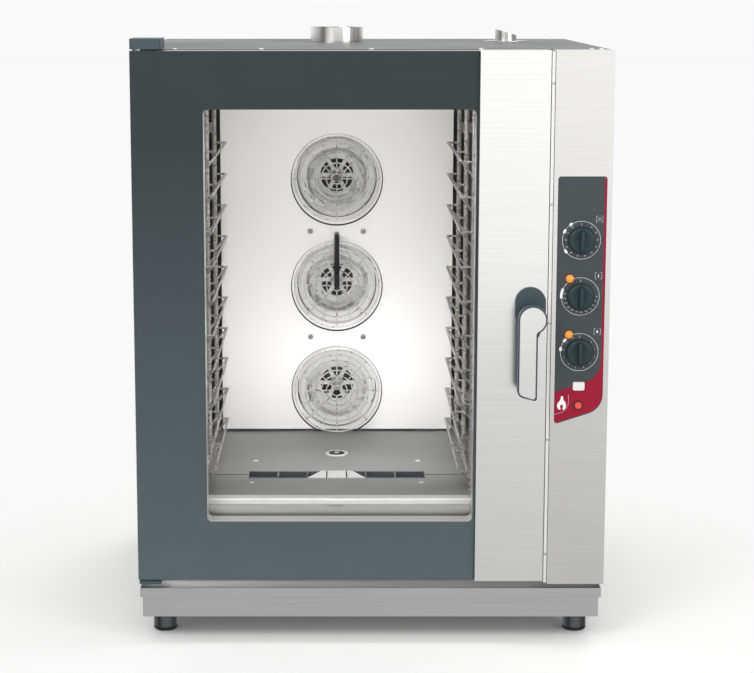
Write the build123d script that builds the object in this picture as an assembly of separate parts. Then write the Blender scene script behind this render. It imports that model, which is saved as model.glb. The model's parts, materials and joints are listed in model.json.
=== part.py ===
"""Gas combi steamer oven with ten tray levels, as an assembly of separate sub-parts.

Millimetres, +Z up. The front faces -Y and the control column is on the right, at +X.
The origin lies on the floor, under the middle of the whole outline, handle and pipe
ends included. Depths named *_y grow from the door towards the rear cover.
"""

import os

from build123d import *

os.makedirs("parts", exist_ok=True)

# ---- Sheet and clearances ---------------------------------------------------
sheet = 1.5
seat_gap = 0.3
bore_clearance = 0.05
press_clearance = 0.01

# ---- Cavity and the margins that make the casing round it -------------------
cavity_width = 600.0
cavity_height = 794.0
cavity_depth = 657.0
left_margin = 97.0
right_margin = 233.0
under_floor = 175.0
over_ceiling = 97.0
behind_cavity = 108.5
insulation_thickness = 40.0
rear_insulation = 24.0
insulation_setback = 4.0
panel_fold = 18.0
frame_fold = 20.0
roof_lip = 20.0

# ---- Base -------------------------------------------------------------------
foot_radius = 24.0
foot_pad_height = 8.0
foot_height = 50.0
foot_side_inset = 47.0
foot_end_inset = 80.0
foot_stem_radius = 6.0
foot_stem_rise = 14.0
foot_pad_bevel = 3.0
foot_collar_height = 6.0
foot_collar_bevel = 2.0
plinth_height = 61.0
plinth_inset = 9.0
plinth_front_inset = 4.0
plinth_sheet = 2.0
plinth_rail_width = 60.0
gutter_depth = 48.0
gutter_height = 18.5
gutter_side_inset = 4.5
gutter_lip = 2.0
gutter_fall = 8.0

# ---- Door -------------------------------------------------------------------
door_thickness = 52.0
door_gap = 6.0
door_floor_gap = 14.0
strip_width = 135.5
outer_glass_thickness = 6.0
print_thickness = 0.5
glass_bevel = 1.0
window_left_border = 140.0
window_right_border = 5.5
window_top_border = 113.0
window_bottom_border = 121.0
window_corner = 10.0
frame_inset = 1.0
inner_glass_thickness = 5.0
inner_glass_lap = 22.0
inner_glass_corner = 16.0
clip_width = 30.0
clip_lap = 8.0
clip_foot = 11.0
clip_lift = 1.2
gasket_width = 12.0
gasket_offset = 7.0

# ---- Hinges -----------------------------------------------------------------
hinge_inset = 16.0
hinge_depth = 24.0
hinge_pin_radius = 5.0
hinge_pin_hold = 40.0
hinge_block = 22.0
hinge_cap_width = 60.0
hinge_cap_height = 20.0
hinge_cap_lift = 2.0
hinge_cap_tail = 37.0
hinge_cap_corner = 6.0
hinge_cap_skin = 4.0
hinge_front_inset = 4.0
hinge_plate_gap = 1.5
hinge_plate_thickness = 6.0
hinge_plate_width = 44.0

# ---- Handle and latch -------------------------------------------------------
handle_from_door_edge = 33.0
handle_z = 664.0
rosette_width = 60.0
rosette_rise = 56.0
rosette_drop = 45.0
rosette_thickness = 6.0
rosette_foot_width = 34.0
rosette_foot_corner = 8.0
rosette_bevel = 1.2
lever_head_radius = 28.0
lever_hub_step = 4.0
lever_hub_lap = 5.0
lever_length = 160.0
lever_arm_width = 38.0
lever_arm_thickness = 20.0
lever_reach = 56.0
lever_tip_slope = 10.0
lever_tip_radius = 14.0
lever_toe_radius = 5.0
lever_neck_radius = 10.0
lever_edge_radius = 4.0
cover_thickness = 1.5
cover_inset = 3.0
cover_edge = 0.5
spindle_radius = 6.0
spindle_grip = 30.0
tongue_length = 18.0
tongue_width = 14.0
tongue_thickness = 8.0
tongue_setback = 2.0
pocket_margin = 6.0
pocket_depth = 22.0
keeper_roller_radius = 3.0

# ---- Control column ---------------------------------------------------------
column_width = 113.0
column_gap = 9.0
column_floor_gap = 8.0
overlay_thickness = 0.8
overlay_left_inset = 8.0
overlay_right_inset = 10.0
overlay_top_z = 936.0
overlay_bottom_z = 446.0
overlay_slope = 31.0
overlay_corner = 6.0
overlay_curve = 40.0
dial_from_edge = 58.0
top_dial_z = 812.0
dial_spacing = 110.5
knob_radius = 26.5
knob_gap = 0.5
knob_draft = 2.0
knob_edge = 1.5
knob_grip_foot = 2.5
knob_grip_inset = 3.0
knob_grip_lean = 3.0
knob_grip_edge = 1.2
knob_skirt = 12.0
knob_grip_height = 13.0
knob_grip_width = 12.0
knob_stub_radius = 3.0
knob_stub_length = 22.0
lamp_radius = 8.0
lamp_rim = 1.5
lamp_dome = 4.5
lamp_barrel_radius = 5.5
lamp_barrel_length = 14.0
lamp_left = 21.0
lamp_rise = 35.0
key_z = 523.4
key_width = 23.0
key_height = 17.0
key_proud = 5.0
button_travel = 2.5
reset_z = 484.6
reset_radius = 7.0
reset_proud = 4.0
bezel_wall = 2.2
bezel_thickness = 2.0
switch_width = 46.0
switch_depth = 40.0
push_switch_width = 34.0
push_switch_height = 26.0
push_switch_depth = 32.0
push_plunger_radius = 2.5
push_plunger_length = 14.0
push_recess = 2.0
button_corner = 3.0
button_bevel = 1.2

# ---- Fans -------------------------------------------------------------------
fan_count = 3
lowest_fan_rise = 100.0
fan_spacing = 243.0
fan_panel_from_rear = 115.0
fan_panel_half_width = 262.0
fan_panel_floor_gap = 6.0
fan_panel_ceiling_gap = 18.0
fan_panel_return = 22.0
fan_panel_stay_from_end = 130.0
fan_panel_stay_height = 40.0
fan_inlet_radius = 90.0
fan_inlet_lip = 6.0
wheel_radius = 88.0
wheel_depth = 58.0
wheel_front_gap = 12.0
wheel_ring_width = 20.0
wheel_sheet = 1.5
blade_count = 18
blade_length = 30.0
blade_angle = 35.0
hub_radius = 16.0
hub_nose_radius = 9.6
hub_length = 34.0
spoke_count = 6
spoke_width = 9.0
spoke_zone_radius = 38.0
shaft_radius = 6.0
motor_radius = 58.0
motor_length = 62.0
motor_flange = 128.0
motor_end_wall = 10.0
motor_flange_thickness = 4.0

# ---- Fan guards -------------------------------------------------------------
guard_wire = 3.0
guard_sides = 20
guard_stand_off = 20.0
guard_radius = 97.0
guard_ring_pitch = 12.0
guard_ring_count = 8
guard_main_spokes = 8
guard_short_rings = (1, 4)
guard_feet = 4

# ---- Tray racks -------------------------------------------------------------
level_count = 10
level_pitch = 70.0
lowest_level_rise = 39.0
rack_wall_gap = 27.0
runner_reach = 28.0
runner_radius = 2.5
brace_drop = 32.0
post_radius = 5.0
posts_per_side = 3
rack_front_inset = 34.0
rack_length = 470.0
rack_rail_radius = 4.0
rack_rail_rise = 16.0
peg_height = 22.0
peg_width = 18.0
peg_from_end = 92.0

# ---- Cavity floor -----------------------------------------------------------
drain_from_mouth = 335.0
drain_radius = 20.0
drain_wall = 1.5
strainer_radius = 25.0
strainer_thickness = 2.0
strainer_skirt = 8.0
strainer_holes = 6
strainer_hole_radius = 4.0
channel_from_mouth = 159.0
channel_half_length = 184.0
channel_width = 58.0
channel_sink = 12.0
channel_bars = 5
channel_bar_width = 4.0

# ---- Humidifier -------------------------------------------------------------
humidifier_radius = 6.0
humidifier_rise = 115.0
humidifier_stand_off = 44.0
humidifier_nozzle = 26.0
humidifier_bend = 14.0

# ---- Flue, vent and gas side ------------------------------------------------
flue_radius = 59.5
flue_rise = 31.0
flue_wall = 1.5
flue_step = 2.5
flue_spigot_radius = 45.0
flue_taper = 16.0
flue_from_rear = 54.0
vent_radius = 24.0
vent_wall = 1.5
vent_rise = 20.0
vent_slant = 16.0
vent_side = 80.0
vent_from_rear = 75.0
vent_below_ceiling = 45.0
vent_collar_radius = 50.0
vent_collar_thickness = 1.2
exchanger_tube_radius = 17.0
exchanger_spread = 128.0
exchanger_wall_gap = 4.0
exchanger_header_height = 50.0
exchanger_header_depth = 100.0
exchanger_header_lap = 20.0
exchanger_header_floor = 10.0
burner_rise = 40.0
gas_radius = 10.6
gas_pipe_radius = 8.5
gas_x_inset = 125.0
gas_z = 165.0
gas_valve_width = 60.0
gas_valve_height = 70.0
gas_valve_from_rear = 280.0

# ---- Rear connections -------------------------------------------------------
rear_reach = 30.0
water_radius = 13.2
water_stem_radius = 10.0
water_tail = 30.0
water_hex_radius = 18.0
water_hex_length = 8.0
water_inlet_inset = 45.0
water_inlet_spacing = 40.0
water_inlet_z = 160.0
drain_outlet_z = 160.0
drain_outlet_radius = 25.0
gland_radius = 11.0
gland_tail = 12.0
gland_hex_radius = 15.0
gland_hex_length = 8.0
gland_nut_radius = 12.0
gland_nut_length = 14.0
gland_bore_radius = 4.0
gland_inset = 60.0
gland_z = 230.0
louvre_rows = 9
louvre_columns = 2
louvre_length = 150.0
louvre_height = 7.0
louvre_pitch = 30.0
louvre_from_top = 110.0
louvre_side_inset = 150.0

# ---- Places worked out from the sizes above ---------------------------------
body_width = left_margin + cavity_width + right_margin
body_left = -body_width / 2
body_right = body_width / 2
body_depth = door_thickness + door_gap + cavity_depth + behind_cavity + sheet
deck_z = foot_height + plinth_height
door_z = deck_z + door_floor_gap
cavity_z = deck_z + under_floor
ceiling_z = cavity_z + cavity_height
body_top = ceiling_z + over_ceiling
cavity_left = body_left + left_margin
cavity_right = cavity_left + cavity_width
cavity_x = (cavity_left + cavity_right) / 2

front_reach = lever_reach + cover_thickness
face_y = front_reach - (front_reach + body_depth + rear_reach) / 2
door_back_y = face_y + door_thickness
mouth_y = door_back_y + door_gap
rear_wall_y = mouth_y + cavity_depth
rear_y = face_y + body_depth
pipe_end_y = rear_y + rear_reach
fan_panel_y = rear_wall_y - fan_panel_from_rear
wheel_y = fan_panel_y + sheet + wheel_front_gap
wheel_back_y = wheel_y + wheel_depth
motor_y = rear_wall_y + sheet + rear_insulation
guard_y = fan_panel_y - guard_stand_off
humidifier_y = fan_panel_y - humidifier_stand_off

column_left = body_right - column_width
door_right = column_left - column_gap
door_width = door_right - body_left
door_height = body_top - door_z
glass_right = door_right - strip_width
window_left = body_left + window_left_border
window_right = glass_right - window_right_border
window_low = door_z + window_bottom_border
window_high = body_top - window_top_border
print_back_y = face_y + outer_glass_thickness + print_thickness
hinge_x = body_left + hinge_inset
hinge_y = face_y + hinge_depth
handle_x = door_right - handle_from_door_edge
rosette_y = face_y - rosette_thickness
dial_x = body_right - dial_from_edge
overlay_y = face_y - overlay_thickness
side_x = body_right - sheet
fan_zs = [cavity_z + lowest_fan_rise + fan_spacing * i for i in range(fan_count)]
dial_zs = [top_dial_z - dial_spacing * i for i in range(3)]
level_zs = [cavity_z + lowest_level_rise + level_pitch * i for i in range(level_count)]
post_ys = [
    mouth_y + rack_front_inset + rack_length * i / (posts_per_side - 1) for i in range(posts_per_side)
]
post_offset = cavity_width / 2 - rack_wall_gap
runner_gap = 2 * (post_offset - runner_reach)
flue_y = rear_wall_y - flue_from_rear
vent_x = cavity_right + vent_side
vent_y = rear_wall_y - vent_from_rear
vent_low_z = ceiling_z - vent_below_ceiling
gas_x = body_right - gas_x_inset
burner_y = rear_wall_y - exchanger_wall_gap - exchanger_tube_radius
burner_z = cavity_z + burner_rise
feed_x = cavity_right + sheet + insulation_thickness
drain_y = mouth_y + drain_from_mouth
channel_y = mouth_y + channel_from_mouth
tongue_tip = tongue_length + tongue_width / 2
tongue_y = mouth_y + tongue_setback
roller_z = handle_z + tongue_tip + seat_gap + keeper_roller_radius
pocket_x = (handle_x - tongue_width / 2 - pocket_margin, handle_x + tongue_tip + pocket_margin)
pocket_z = (handle_z - tongue_width / 2 - pocket_margin, roller_z + keeper_roller_radius + 1.0)
feet = [
    (sx * (body_width / 2 - foot_side_inset), y)
    for sx in (-1, 1)
    for y in (face_y + foot_end_inset, rear_y - foot_end_inset)
]


# ---- Drawing helpers --------------------------------------------------------
def block(x, y, z):
    """A box from three (low, high) ranges."""
    return Pos(x[0], y[0], z[0]) * Box(
        x[1] - x[0], y[1] - y[0], z[1] - z[0], align=(Align.MIN, Align.MIN, Align.MIN)
    )


def rod(radius, start, end):
    """A round bar between two points."""
    line = Vector(*end) - Vector(*start)
    return extrude(Plane(origin=start, z_dir=line) * Circle(radius), line.length)


def tube(radius, wall, start, end):
    """A straight pipe between two points."""
    return rod(radius, start, end) - rod(radius - wall, start, end)


def bar(radius, start, end, sides=6):
    """A faceted wire between two points, for wires that repeat many times."""
    line = Vector(*end) - Vector(*start)
    return extrude(Plane(origin=start, z_dir=line) * RegularPolygon(radius, sides), line.length)


def bent_rod(radius, points, bend):
    """A round bar along straight runs joined by tangent arcs."""
    path = FilletPolyline(*points, radius=bend)
    return sweep(Plane(origin=path @ 0, z_dir=path % 0) * Circle(radius), path)


def mitred_rod(radius, points):
    """A round bar along straight runs joined by mitres."""
    path = Polyline(*points)
    return sweep(Plane(origin=path @ 0, z_dir=path % 0) * Circle(radius), path, transition=Transition.RIGHT)


def front_plate(outline, y, thickness):
    """Extrudes an outline drawn in (x, z) from depth y towards the rear."""
    plane = Plane(origin=(0, y, 0), x_dir=(1, 0, 0), z_dir=(0, -1, 0))
    return extrude(plane * outline, -thickness)


def rounded(x, z, radius):
    """A rounded rectangle outline from (low, high) ranges in x and z."""
    outline = RectangleRounded(x[1] - x[0], z[1] - z[0], radius)
    return Pos((x[0] + x[1]) / 2, (z[0] + z[1]) / 2) * outline


def window_outline(grow, corner):
    """The window's rounded rectangle, grown on every side."""
    return rounded((window_left - grow, window_right + grow), (window_low - grow, window_high + grow), corner)


def ring_positions(count, offset=0.0):
    """Angles in degrees of evenly spaced copies."""
    return [offset + 360.0 / count * i for i in range(count)]


def save(shape, name):
    """Writes one sub-part."""
    shape.label = name
    export_step(shape, f"parts/{name}.step")


# ---- Base -------------------------------------------------------------------
def base_plinth():
    """A pan of welded flat sheets, open below, with two cross rails that take the feet.

    The low front ledge carries the gutter.
    """
    x = (body_left + plinth_inset, body_right - plinth_inset)
    y = (face_y + plinth_front_inset, rear_y - plinth_front_inset)
    inner_x = (x[0] + plinth_sheet, x[1] - plinth_sheet)
    inner_y = (y[0] + plinth_sheet, y[1] - plinth_sheet)
    riser_y = face_y + gutter_depth
    ledge_z = deck_z - gutter_height
    sheets = [
        block(x, (y[0], inner_y[0]), (foot_height, ledge_z)),
        block(x, (inner_y[1], y[1]), (foot_height, deck_z)),
        block(inner_x, (inner_y[0], riser_y), (ledge_z - plinth_sheet, ledge_z)),
        block(inner_x, (riser_y, riser_y + plinth_sheet), (ledge_z - plinth_sheet, deck_z)),
        block(inner_x, (riser_y + plinth_sheet, inner_y[1]), (deck_z - plinth_sheet, deck_z)),
    ]
    for side in ((x[0], inner_x[0]), (inner_x[1], x[1])):
        sheets.append(block(side, (inner_y[0], riser_y), (foot_height, ledge_z)))
        sheets.append(block(side, (riser_y, inner_y[1]), (foot_height, deck_z)))
    for rail_y in sorted({foot_y for _, foot_y in feet}):
        span = (rail_y - plinth_rail_width / 2, rail_y + plinth_rail_width / 2)
        rail = block(inner_x, span, (foot_height, foot_height + plinth_sheet))
        for foot_x in sorted({x for x, _ in feet}):
            stem = (foot_x, rail_y, foot_height - 1)
            rail -= rod(foot_stem_radius, stem, (foot_x, rail_y, foot_height + plinth_sheet + 1))
        sheets.append(rail)
    return Compound(sheets)


def drip_gutter():
    """The trough under the door, welded from sheets, with a floor that falls towards the rear."""
    x = (body_left + gutter_side_inset, body_right - gutter_side_inset)
    y = (face_y - gutter_lip, face_y + gutter_depth)
    z = (deck_z - gutter_height, deck_z)
    inner_x = (x[0] + sheet, x[1] - sheet)
    inner_y = (y[0] + sheet, y[1] - sheet)
    section = Polyline(
        (inner_y[0], z[0]),
        (inner_y[1], z[0]),
        (inner_y[1], z[0] + sheet),
        (inner_y[0], z[0] + sheet + gutter_fall),
        close=True,
    )
    plane = Plane(origin=(inner_x[0], 0, 0), x_dir=(0, 1, 0), z_dir=(1, 0, 0))
    return Compound(
        [
            block(x, (y[0], inner_y[0]), z),
            block(x, (inner_y[1], y[1]), z),
            block((x[0], inner_x[0]), inner_y, z),
            block((inner_x[1], x[1]), inner_y, z),
            extrude(plane * make_face(section), inner_x[1] - inner_x[0]),
        ]
    )


def adjustable_feet():
    """Four turned feet, each with a collar and a stem through the plinth rail."""
    profile = Polyline(
        (0, foot_pad_height),
        (foot_radius, foot_pad_height),
        (foot_radius, foot_height - foot_collar_height),
        (foot_radius - foot_collar_bevel, foot_height),
        (foot_stem_radius - bore_clearance, foot_height),
        (foot_stem_radius - bore_clearance, foot_height + foot_stem_rise),
        (0, foot_height + foot_stem_rise),
        close=True,
    )
    foot = revolve(Plane.XZ * make_face(profile), Axis.Z)
    return Compound([Pos(x, y, 0) * foot for x, y in feet])


def foot_pads():
    """The rubber soles."""
    profile = Polyline(
        (0, 0),
        (foot_radius - foot_pad_bevel, 0),
        (foot_radius, foot_pad_bevel),
        (foot_radius, foot_pad_height),
        (0, foot_pad_height),
        close=True,
    )
    pad = revolve(Plane.XZ * make_face(profile), Axis.Z)
    return Compound([Pos(x, y, 0) * pad for x, y in feet])


# ---- Casing -----------------------------------------------------------------
def side_panel(side):
    """One side sheet with inward folds at the front and the rear."""
    y = (mouth_y + sheet, rear_y - sheet)
    z = (deck_z, body_top - sheet)
    outer = side * side_x
    skin = tuple(sorted((outer, outer - side * sheet)))
    flange = tuple(sorted((outer, outer - side * panel_fold)))
    panel = block(skin, y, z)
    panel += block(flange, (y[0], y[0] + sheet), z)
    return panel + block(flange, (y[1] - sheet, y[1]), z)


def top_cover():
    """The roof pan with turned-down sides and holes for the flue and the vent."""
    x = (body_left, body_right)
    y = (mouth_y, rear_y)
    roof = block(x, y, (body_top - sheet, body_top))
    for edge in (x[0], x[1] - sheet):
        roof += block((edge, edge + sheet), y, (body_top - roof_lip, body_top))
    hole = flue_radius - flue_step + seat_gap
    roof -= rod(hole, (cavity_x, flue_y, body_top - 5), (cavity_x, flue_y, body_top + 1))
    return roof - rod(vent_radius + seat_gap, (vent_x, vent_y, body_top - 5), (vent_x, vent_y, body_top + 1))


def louvre_centres():
    """Where the rear cover's air slots are, in x and z."""
    spread = body_width / 2 - louvre_side_inset
    columns = [-spread + 2 * spread * i / (louvre_columns - 1) for i in range(louvre_columns)]
    rows = [body_top - louvre_from_top - louvre_pitch * i for i in range(louvre_rows)]
    return [(x, z) for x in columns for z in rows]


def rear_ports():
    """Each rear opening as (x, z, radius of what passes through)."""
    ports = [(cavity_x, drain_outlet_z, drain_radius), (gas_x, gas_z, gas_pipe_radius)]
    ports += [(x, water_inlet_z, water_stem_radius) for x in water_inlet_xs()]
    return ports + [(body_right - gland_inset, gland_z, gland_radius)]


def water_inlet_xs():
    """The two water inlets, side by side near the control column."""
    right = body_right - water_inlet_inset
    return [right, right - water_inlet_spacing]


def rear_cover():
    """The rear sheet with air slots and the openings for the pipe ends."""
    x = (-side_x, side_x)
    cover = block(x, (rear_y - sheet, rear_y), (deck_z, body_top - sheet))
    slots = [
        block(
            (cx - louvre_length / 2, cx + louvre_length / 2),
            (rear_y - 2 * sheet, rear_y + 1),
            (cz - louvre_height / 2, cz + louvre_height / 2),
        )
        for cx, cz in louvre_centres()
    ]
    holes = [
        rod(radius + seat_gap, (px, rear_y - 2 * sheet, pz), (px, rear_y + 1, pz))
        for px, pz, radius in rear_ports()
    ]
    return cover - slots - holes


def front_frame():
    """The plate round the cavity mouth, with folds and the latch pocket's opening."""
    x = (-side_x, column_left)
    z = (deck_z, body_top - sheet)
    frame = block(x, (mouth_y, mouth_y + sheet), z)
    for low in (z[0], z[1] - sheet):
        inner = (x[0] + frame_fold, x[1])
        frame += block(inner, (mouth_y, mouth_y + frame_fold), (low, low + sheet))
    mouth = rounded((cavity_left, cavity_right), (cavity_z, ceiling_z), window_corner)
    frame -= front_plate(mouth, mouth_y - 1, sheet + 2)
    return frame - block(pocket_x, (mouth_y - 1, mouth_y + sheet + 1), pocket_z)


# ---- Cavity -----------------------------------------------------------------
def cavity_side(side):
    """One side wall of the cavity; the right one has the vent and burner holes."""
    outer = cavity_right if side > 0 else cavity_left
    x = tuple(sorted((outer, outer + side * sheet)))
    wall = block(x, (mouth_y + sheet, rear_wall_y), (cavity_z - sheet, ceiling_z + sheet))
    if side > 0:
        reach = (x[0] - 1, x[1] + 1)
        for radius, y, z in right_wall_holes():
            wall -= rod(radius, (reach[0], y, z), (reach[1], y, z))
    return wall


def right_wall_holes():
    """What passes through the right wall and its insulation, as (radius, y, z)."""
    return [(vent_radius, vent_y, vent_low_z), (exchanger_tube_radius, burner_y, burner_z)]


def cavity_ceiling():
    """The cavity roof with the hole that the flue leaves through."""
    x = (cavity_left, cavity_right)
    roof = block(x, (mouth_y + sheet, rear_wall_y), (ceiling_z, ceiling_z + sheet))
    start = (cavity_x, flue_y, ceiling_z - 1)
    return roof - rod(flue_spigot_radius + press_clearance, start, (cavity_x, flue_y, ceiling_z + sheet + 1))


def channel_box(grow, z):
    """The cross channel in the cavity floor, grown on every side."""
    x = (cavity_x - channel_half_length - grow, cavity_x + channel_half_length + grow)
    return block(x, (channel_y - channel_width / 2 - grow, channel_y + channel_width / 2 + grow), z)


def cavity_floor():
    """The cavity floor with its drain hole and the opening for the cross channel."""
    x = (cavity_left, cavity_right)
    plate = block(x, (mouth_y + sheet, rear_wall_y), (cavity_z - sheet, cavity_z))
    plate -= channel_box(0, (cavity_z - sheet - 1, cavity_z + 1))
    low = (cavity_x, drain_y, cavity_z - sheet - 1)
    return plate - rod(drain_radius, low, (cavity_x, drain_y, cavity_z + 1))


def cavity_rear_wall():
    """The rear wall, with a hole for each fan shaft."""
    x = (cavity_left - sheet, cavity_right + sheet)
    wall = block(x, (rear_wall_y, rear_wall_y + sheet), (cavity_z - sheet, ceiling_z + sheet))
    for z in fan_zs:
        wall -= rod(shaft_radius + 2, (cavity_x, rear_wall_y - 1, z), (cavity_x, rear_wall_y + sheet + 1, z))
    return wall


def drain_strainer():
    """A pierced disc over the drain, with a skirt that drops into the pipe."""
    disc = rod(strainer_radius, (0, 0, 0), (0, 0, strainer_thickness))
    disc += tube(drain_radius - drain_wall - seat_gap, 1.5, (0, 0, -strainer_skirt), (0, 0, 0))
    for angle in ring_positions(strainer_holes):
        place = Rot(0, 0, angle) * Pos(strainer_radius * 0.52, 0, 0)
        disc -= place * rod(strainer_hole_radius, (0, 0, -1), (0, 0, strainer_thickness + 1))
    disc -= rod(strainer_hole_radius, (0, 0, -1), (0, 0, strainer_thickness + 1))
    return Pos(cavity_x, drain_y, cavity_z) * disc


def floor_grille():
    """The pressed channel across the floor, with bars level with the floor."""
    low = cavity_z - sheet - channel_sink
    tray = channel_box(sheet, (low, cavity_z - sheet))
    tray -= channel_box(0, (low + sheet, cavity_z))
    pitch = 2 * channel_half_length / (channel_bars + 1)
    for i in range(1, channel_bars + 1):
        x = cavity_x - channel_half_length + pitch * i
        span = (channel_y - channel_width / 2, channel_y + channel_width / 2)
        tray += block((x - channel_bar_width / 2, x + channel_bar_width / 2), span, (cavity_z - 5, cavity_z))
    return tray


# ---- Fans -------------------------------------------------------------------
def fan_panel():
    """The sheet in front of the fans: three flanged inlets and folded-back sides."""
    x = (cavity_x - fan_panel_half_width, cavity_x + fan_panel_half_width)
    z = (cavity_z + fan_panel_floor_gap, ceiling_z - fan_panel_ceiling_gap)
    panel = block(x, (fan_panel_y, fan_panel_y + sheet), z)
    for edge in (x[0], x[1] - sheet):
        panel += block((edge, edge + sheet), (fan_panel_y, fan_panel_y + fan_panel_return), z)
    for height in fan_zs:
        back = fan_panel_y + sheet + fan_inlet_lip
        panel += rod(fan_inlet_radius + sheet, (cavity_x, fan_panel_y, height), (cavity_x, back, height))
    for height in fan_zs:
        back = fan_panel_y + sheet + fan_inlet_lip
        panel -= rod(fan_inlet_radius, (cavity_x, fan_panel_y - 1, height), (cavity_x, back + 1, height))
    return panel + panel_stays(x, z)


def panel_stays(x, z):
    """Four channels that hold the fan panel off the rear wall."""
    stays = []
    for edge in (x[0], x[1] - sheet):
        for height in (z[0] + fan_panel_stay_from_end, z[1] - fan_panel_stay_from_end):
            span = (height - fan_panel_stay_height / 2, height + fan_panel_stay_height / 2)
            stays.append(block((edge, edge + sheet), (fan_panel_y, rear_wall_y), span))
    return stays


def fan_guard(height):
    """Concentric wire rings on radial wires, standing off the fan panel."""
    half = guard_wire / 2
    wires = []
    rings = [guard_radius - guard_ring_pitch * i for i in range(guard_ring_count)]
    for radius in rings:
        ring = RegularPolygon(radius, guard_sides) - RegularPolygon(radius - guard_wire, guard_sides)
        wires.append(extrude(ring, guard_wire))
    for angle in ring_positions(guard_main_spokes):
        reach = (rings[-1] - half, rings[0] - half)
        wires.append(Rot(0, 0, angle) * block(reach, (-half, half), (-guard_wire, 0)))
    for angle in ring_positions(guard_main_spokes, 180.0 / guard_main_spokes):
        outer, inner = (rings[number] for number in guard_short_rings)
        reach = (inner - half, outer - half)
        wires.append(Rot(0, 0, angle) * block(reach, (-half, half), (-guard_wire, 0)))
    for angle in ring_positions(guard_feet, 45.0):
        reach = (rings[0] - 1.5 * guard_wire, rings[0] - half)
        wires.append(Rot(0, 0, angle) * block(reach, (-half, half), (-guard_stand_off, -half)))
    guard = wires[0].fuse(*wires[1:])
    return Pos(cavity_x, guard_y, height) * Rot(90, 0, 0) * guard


def blade(angle):
    """One flat fan blade between the back disc and the front ring."""
    plate = block((-blade_length, 0), (-wheel_sheet / 2, wheel_sheet / 2), (0, wheel_depth))
    return Rot(0, 0, angle) * Pos(wheel_radius - wheel_sheet, 0, 0) * Rot(0, 0, blade_angle) * plate


def fan_wheel(height):
    """A centrifugal wheel on its shaft: spoked back disc, blades and inlet ring."""
    disc = extrude(Circle(wheel_radius) - Circle(spoke_zone_radius), wheel_sheet)
    for angle in ring_positions(spoke_count):
        reach = (hub_radius - 2, spoke_zone_radius + 2)
        disc += Rot(0, 0, angle) * block(reach, (-spoke_width / 2, spoke_width / 2), (0, wheel_sheet))
    upright = (Align.CENTER, Align.CENTER, Align.MIN)
    wheel = disc + Cone(hub_radius, hub_nose_radius, hub_length, align=upright)
    wheel += [blade(angle) for angle in ring_positions(blade_count)]
    ring = extrude(Circle(wheel_radius) - Circle(wheel_radius - wheel_ring_width), wheel_sheet)
    wheel += Pos(0, 0, wheel_depth - wheel_sheet) * ring
    shaft_length = motor_y + motor_length / 2 - wheel_back_y
    wheel += rod(shaft_radius, (0, 0, wheel_sheet), (0, 0, -shaft_length))
    return Pos(cavity_x, wheel_back_y, height) * Rot(90, 0, 0) * wheel


def fan_motors():
    """Three motors behind the insulation, each bored for its shaft."""
    half = motor_flange / 2
    motors = []
    for z in fan_zs:
        depth = (motor_y, motor_y + motor_flange_thickness)
        flange = block((cavity_x - half, cavity_x + half), depth, (z - half, z + half))
        end = motor_y + motor_length
        motor = flange + rod(motor_radius, (cavity_x, motor_y, z), (cavity_x, end, z))
        bore_end = end - motor_end_wall
        bore = rod(shaft_radius + bore_clearance, (cavity_x, motor_y - 1, z), (cavity_x, bore_end, z))
        motors.append(motor - bore)
    return Compound([solid for motor in motors for solid in motor.solids()])


def humidifier_pipe():
    """The water tube: out of the fan panel, down in front of the guard, back to the hub."""
    z = fan_zs[1]
    points = [
        (cavity_x, fan_panel_y, z + humidifier_rise),
        (cavity_x, humidifier_y, z + humidifier_rise),
        (cavity_x, humidifier_y, z),
        (cavity_x, humidifier_y + humidifier_nozzle - guard_wire, z),
    ]
    return bent_rod(humidifier_radius, points, humidifier_bend)


# ---- Tray racks -------------------------------------------------------------
def runner_level(side):
    """One level of a rack at height zero: a runner wire and a brace at every post."""
    post = side * post_offset
    inner = side * (runner_gap / 2 + runner_radius)
    front, back = post_ys[0], post_ys[-1]
    wires = [bar(runner_radius, (inner, front - runner_radius, 0), (inner, back + runner_radius, 0))]
    for y in post_ys:
        wires.append(bar(runner_radius, (post, y, 0), (inner, y, 0)))
        wires.append(bar(runner_radius, (inner, y, 0), (post, y, -brace_drop)))
    return wires


def rack(side):
    """A side rack: three posts, two rails and ten levels of bent wire."""
    post = side * post_offset
    top = ceiling_z - rack_rail_rise
    solids = [bar(post_radius, (post, y, cavity_z), (post, y, top), 12) for y in post_ys]
    for z in (cavity_z + rack_rail_rise, top - rack_rail_radius):
        solids.append(bar(rack_rail_radius, (post, post_ys[0], z), (post, post_ys[-1], z)))
    level = runner_level(side)
    for z in level_zs:
        solids += [Pos(0, 0, z) * wire for wire in level]
    frame = solids[0].fuse(*solids[1:])
    return Pos(cavity_x, 0, 0) * frame


def rack_pegs():
    """Clips on the cavity's side walls that hold the outer racks' posts."""
    pegs = []
    for side in (-1, 1):
        post = cavity_x + side * post_offset
        wall = cavity_x + side * cavity_width / 2
        for y in (post_ys[0], post_ys[-1]):
            for z in (cavity_z + peg_from_end, ceiling_z - peg_from_end):
                x = tuple(sorted((post, wall)))
                width = (y - peg_width / 2, y + peg_width / 2)
                peg = block(x, width, (z - peg_height / 2, z + peg_height / 2))
                peg -= rod(post_radius + bore_clearance, (post, y, z - peg_height), (post, y, z + peg_height))
                pegs += peg.solids()
    return Compound(pegs)


# ---- Door -------------------------------------------------------------------
def door_outer_glass():
    """The full outer pane with bevelled edges."""
    outline = Pos((body_left + glass_right) / 2, (door_z + body_top) / 2) * Rectangle(
        glass_right - body_left, door_height
    )
    pane = front_plate(outline, face_y, outer_glass_thickness)
    return chamfer(pane.edges().group_by(Axis.Y)[0], glass_bevel)


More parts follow.
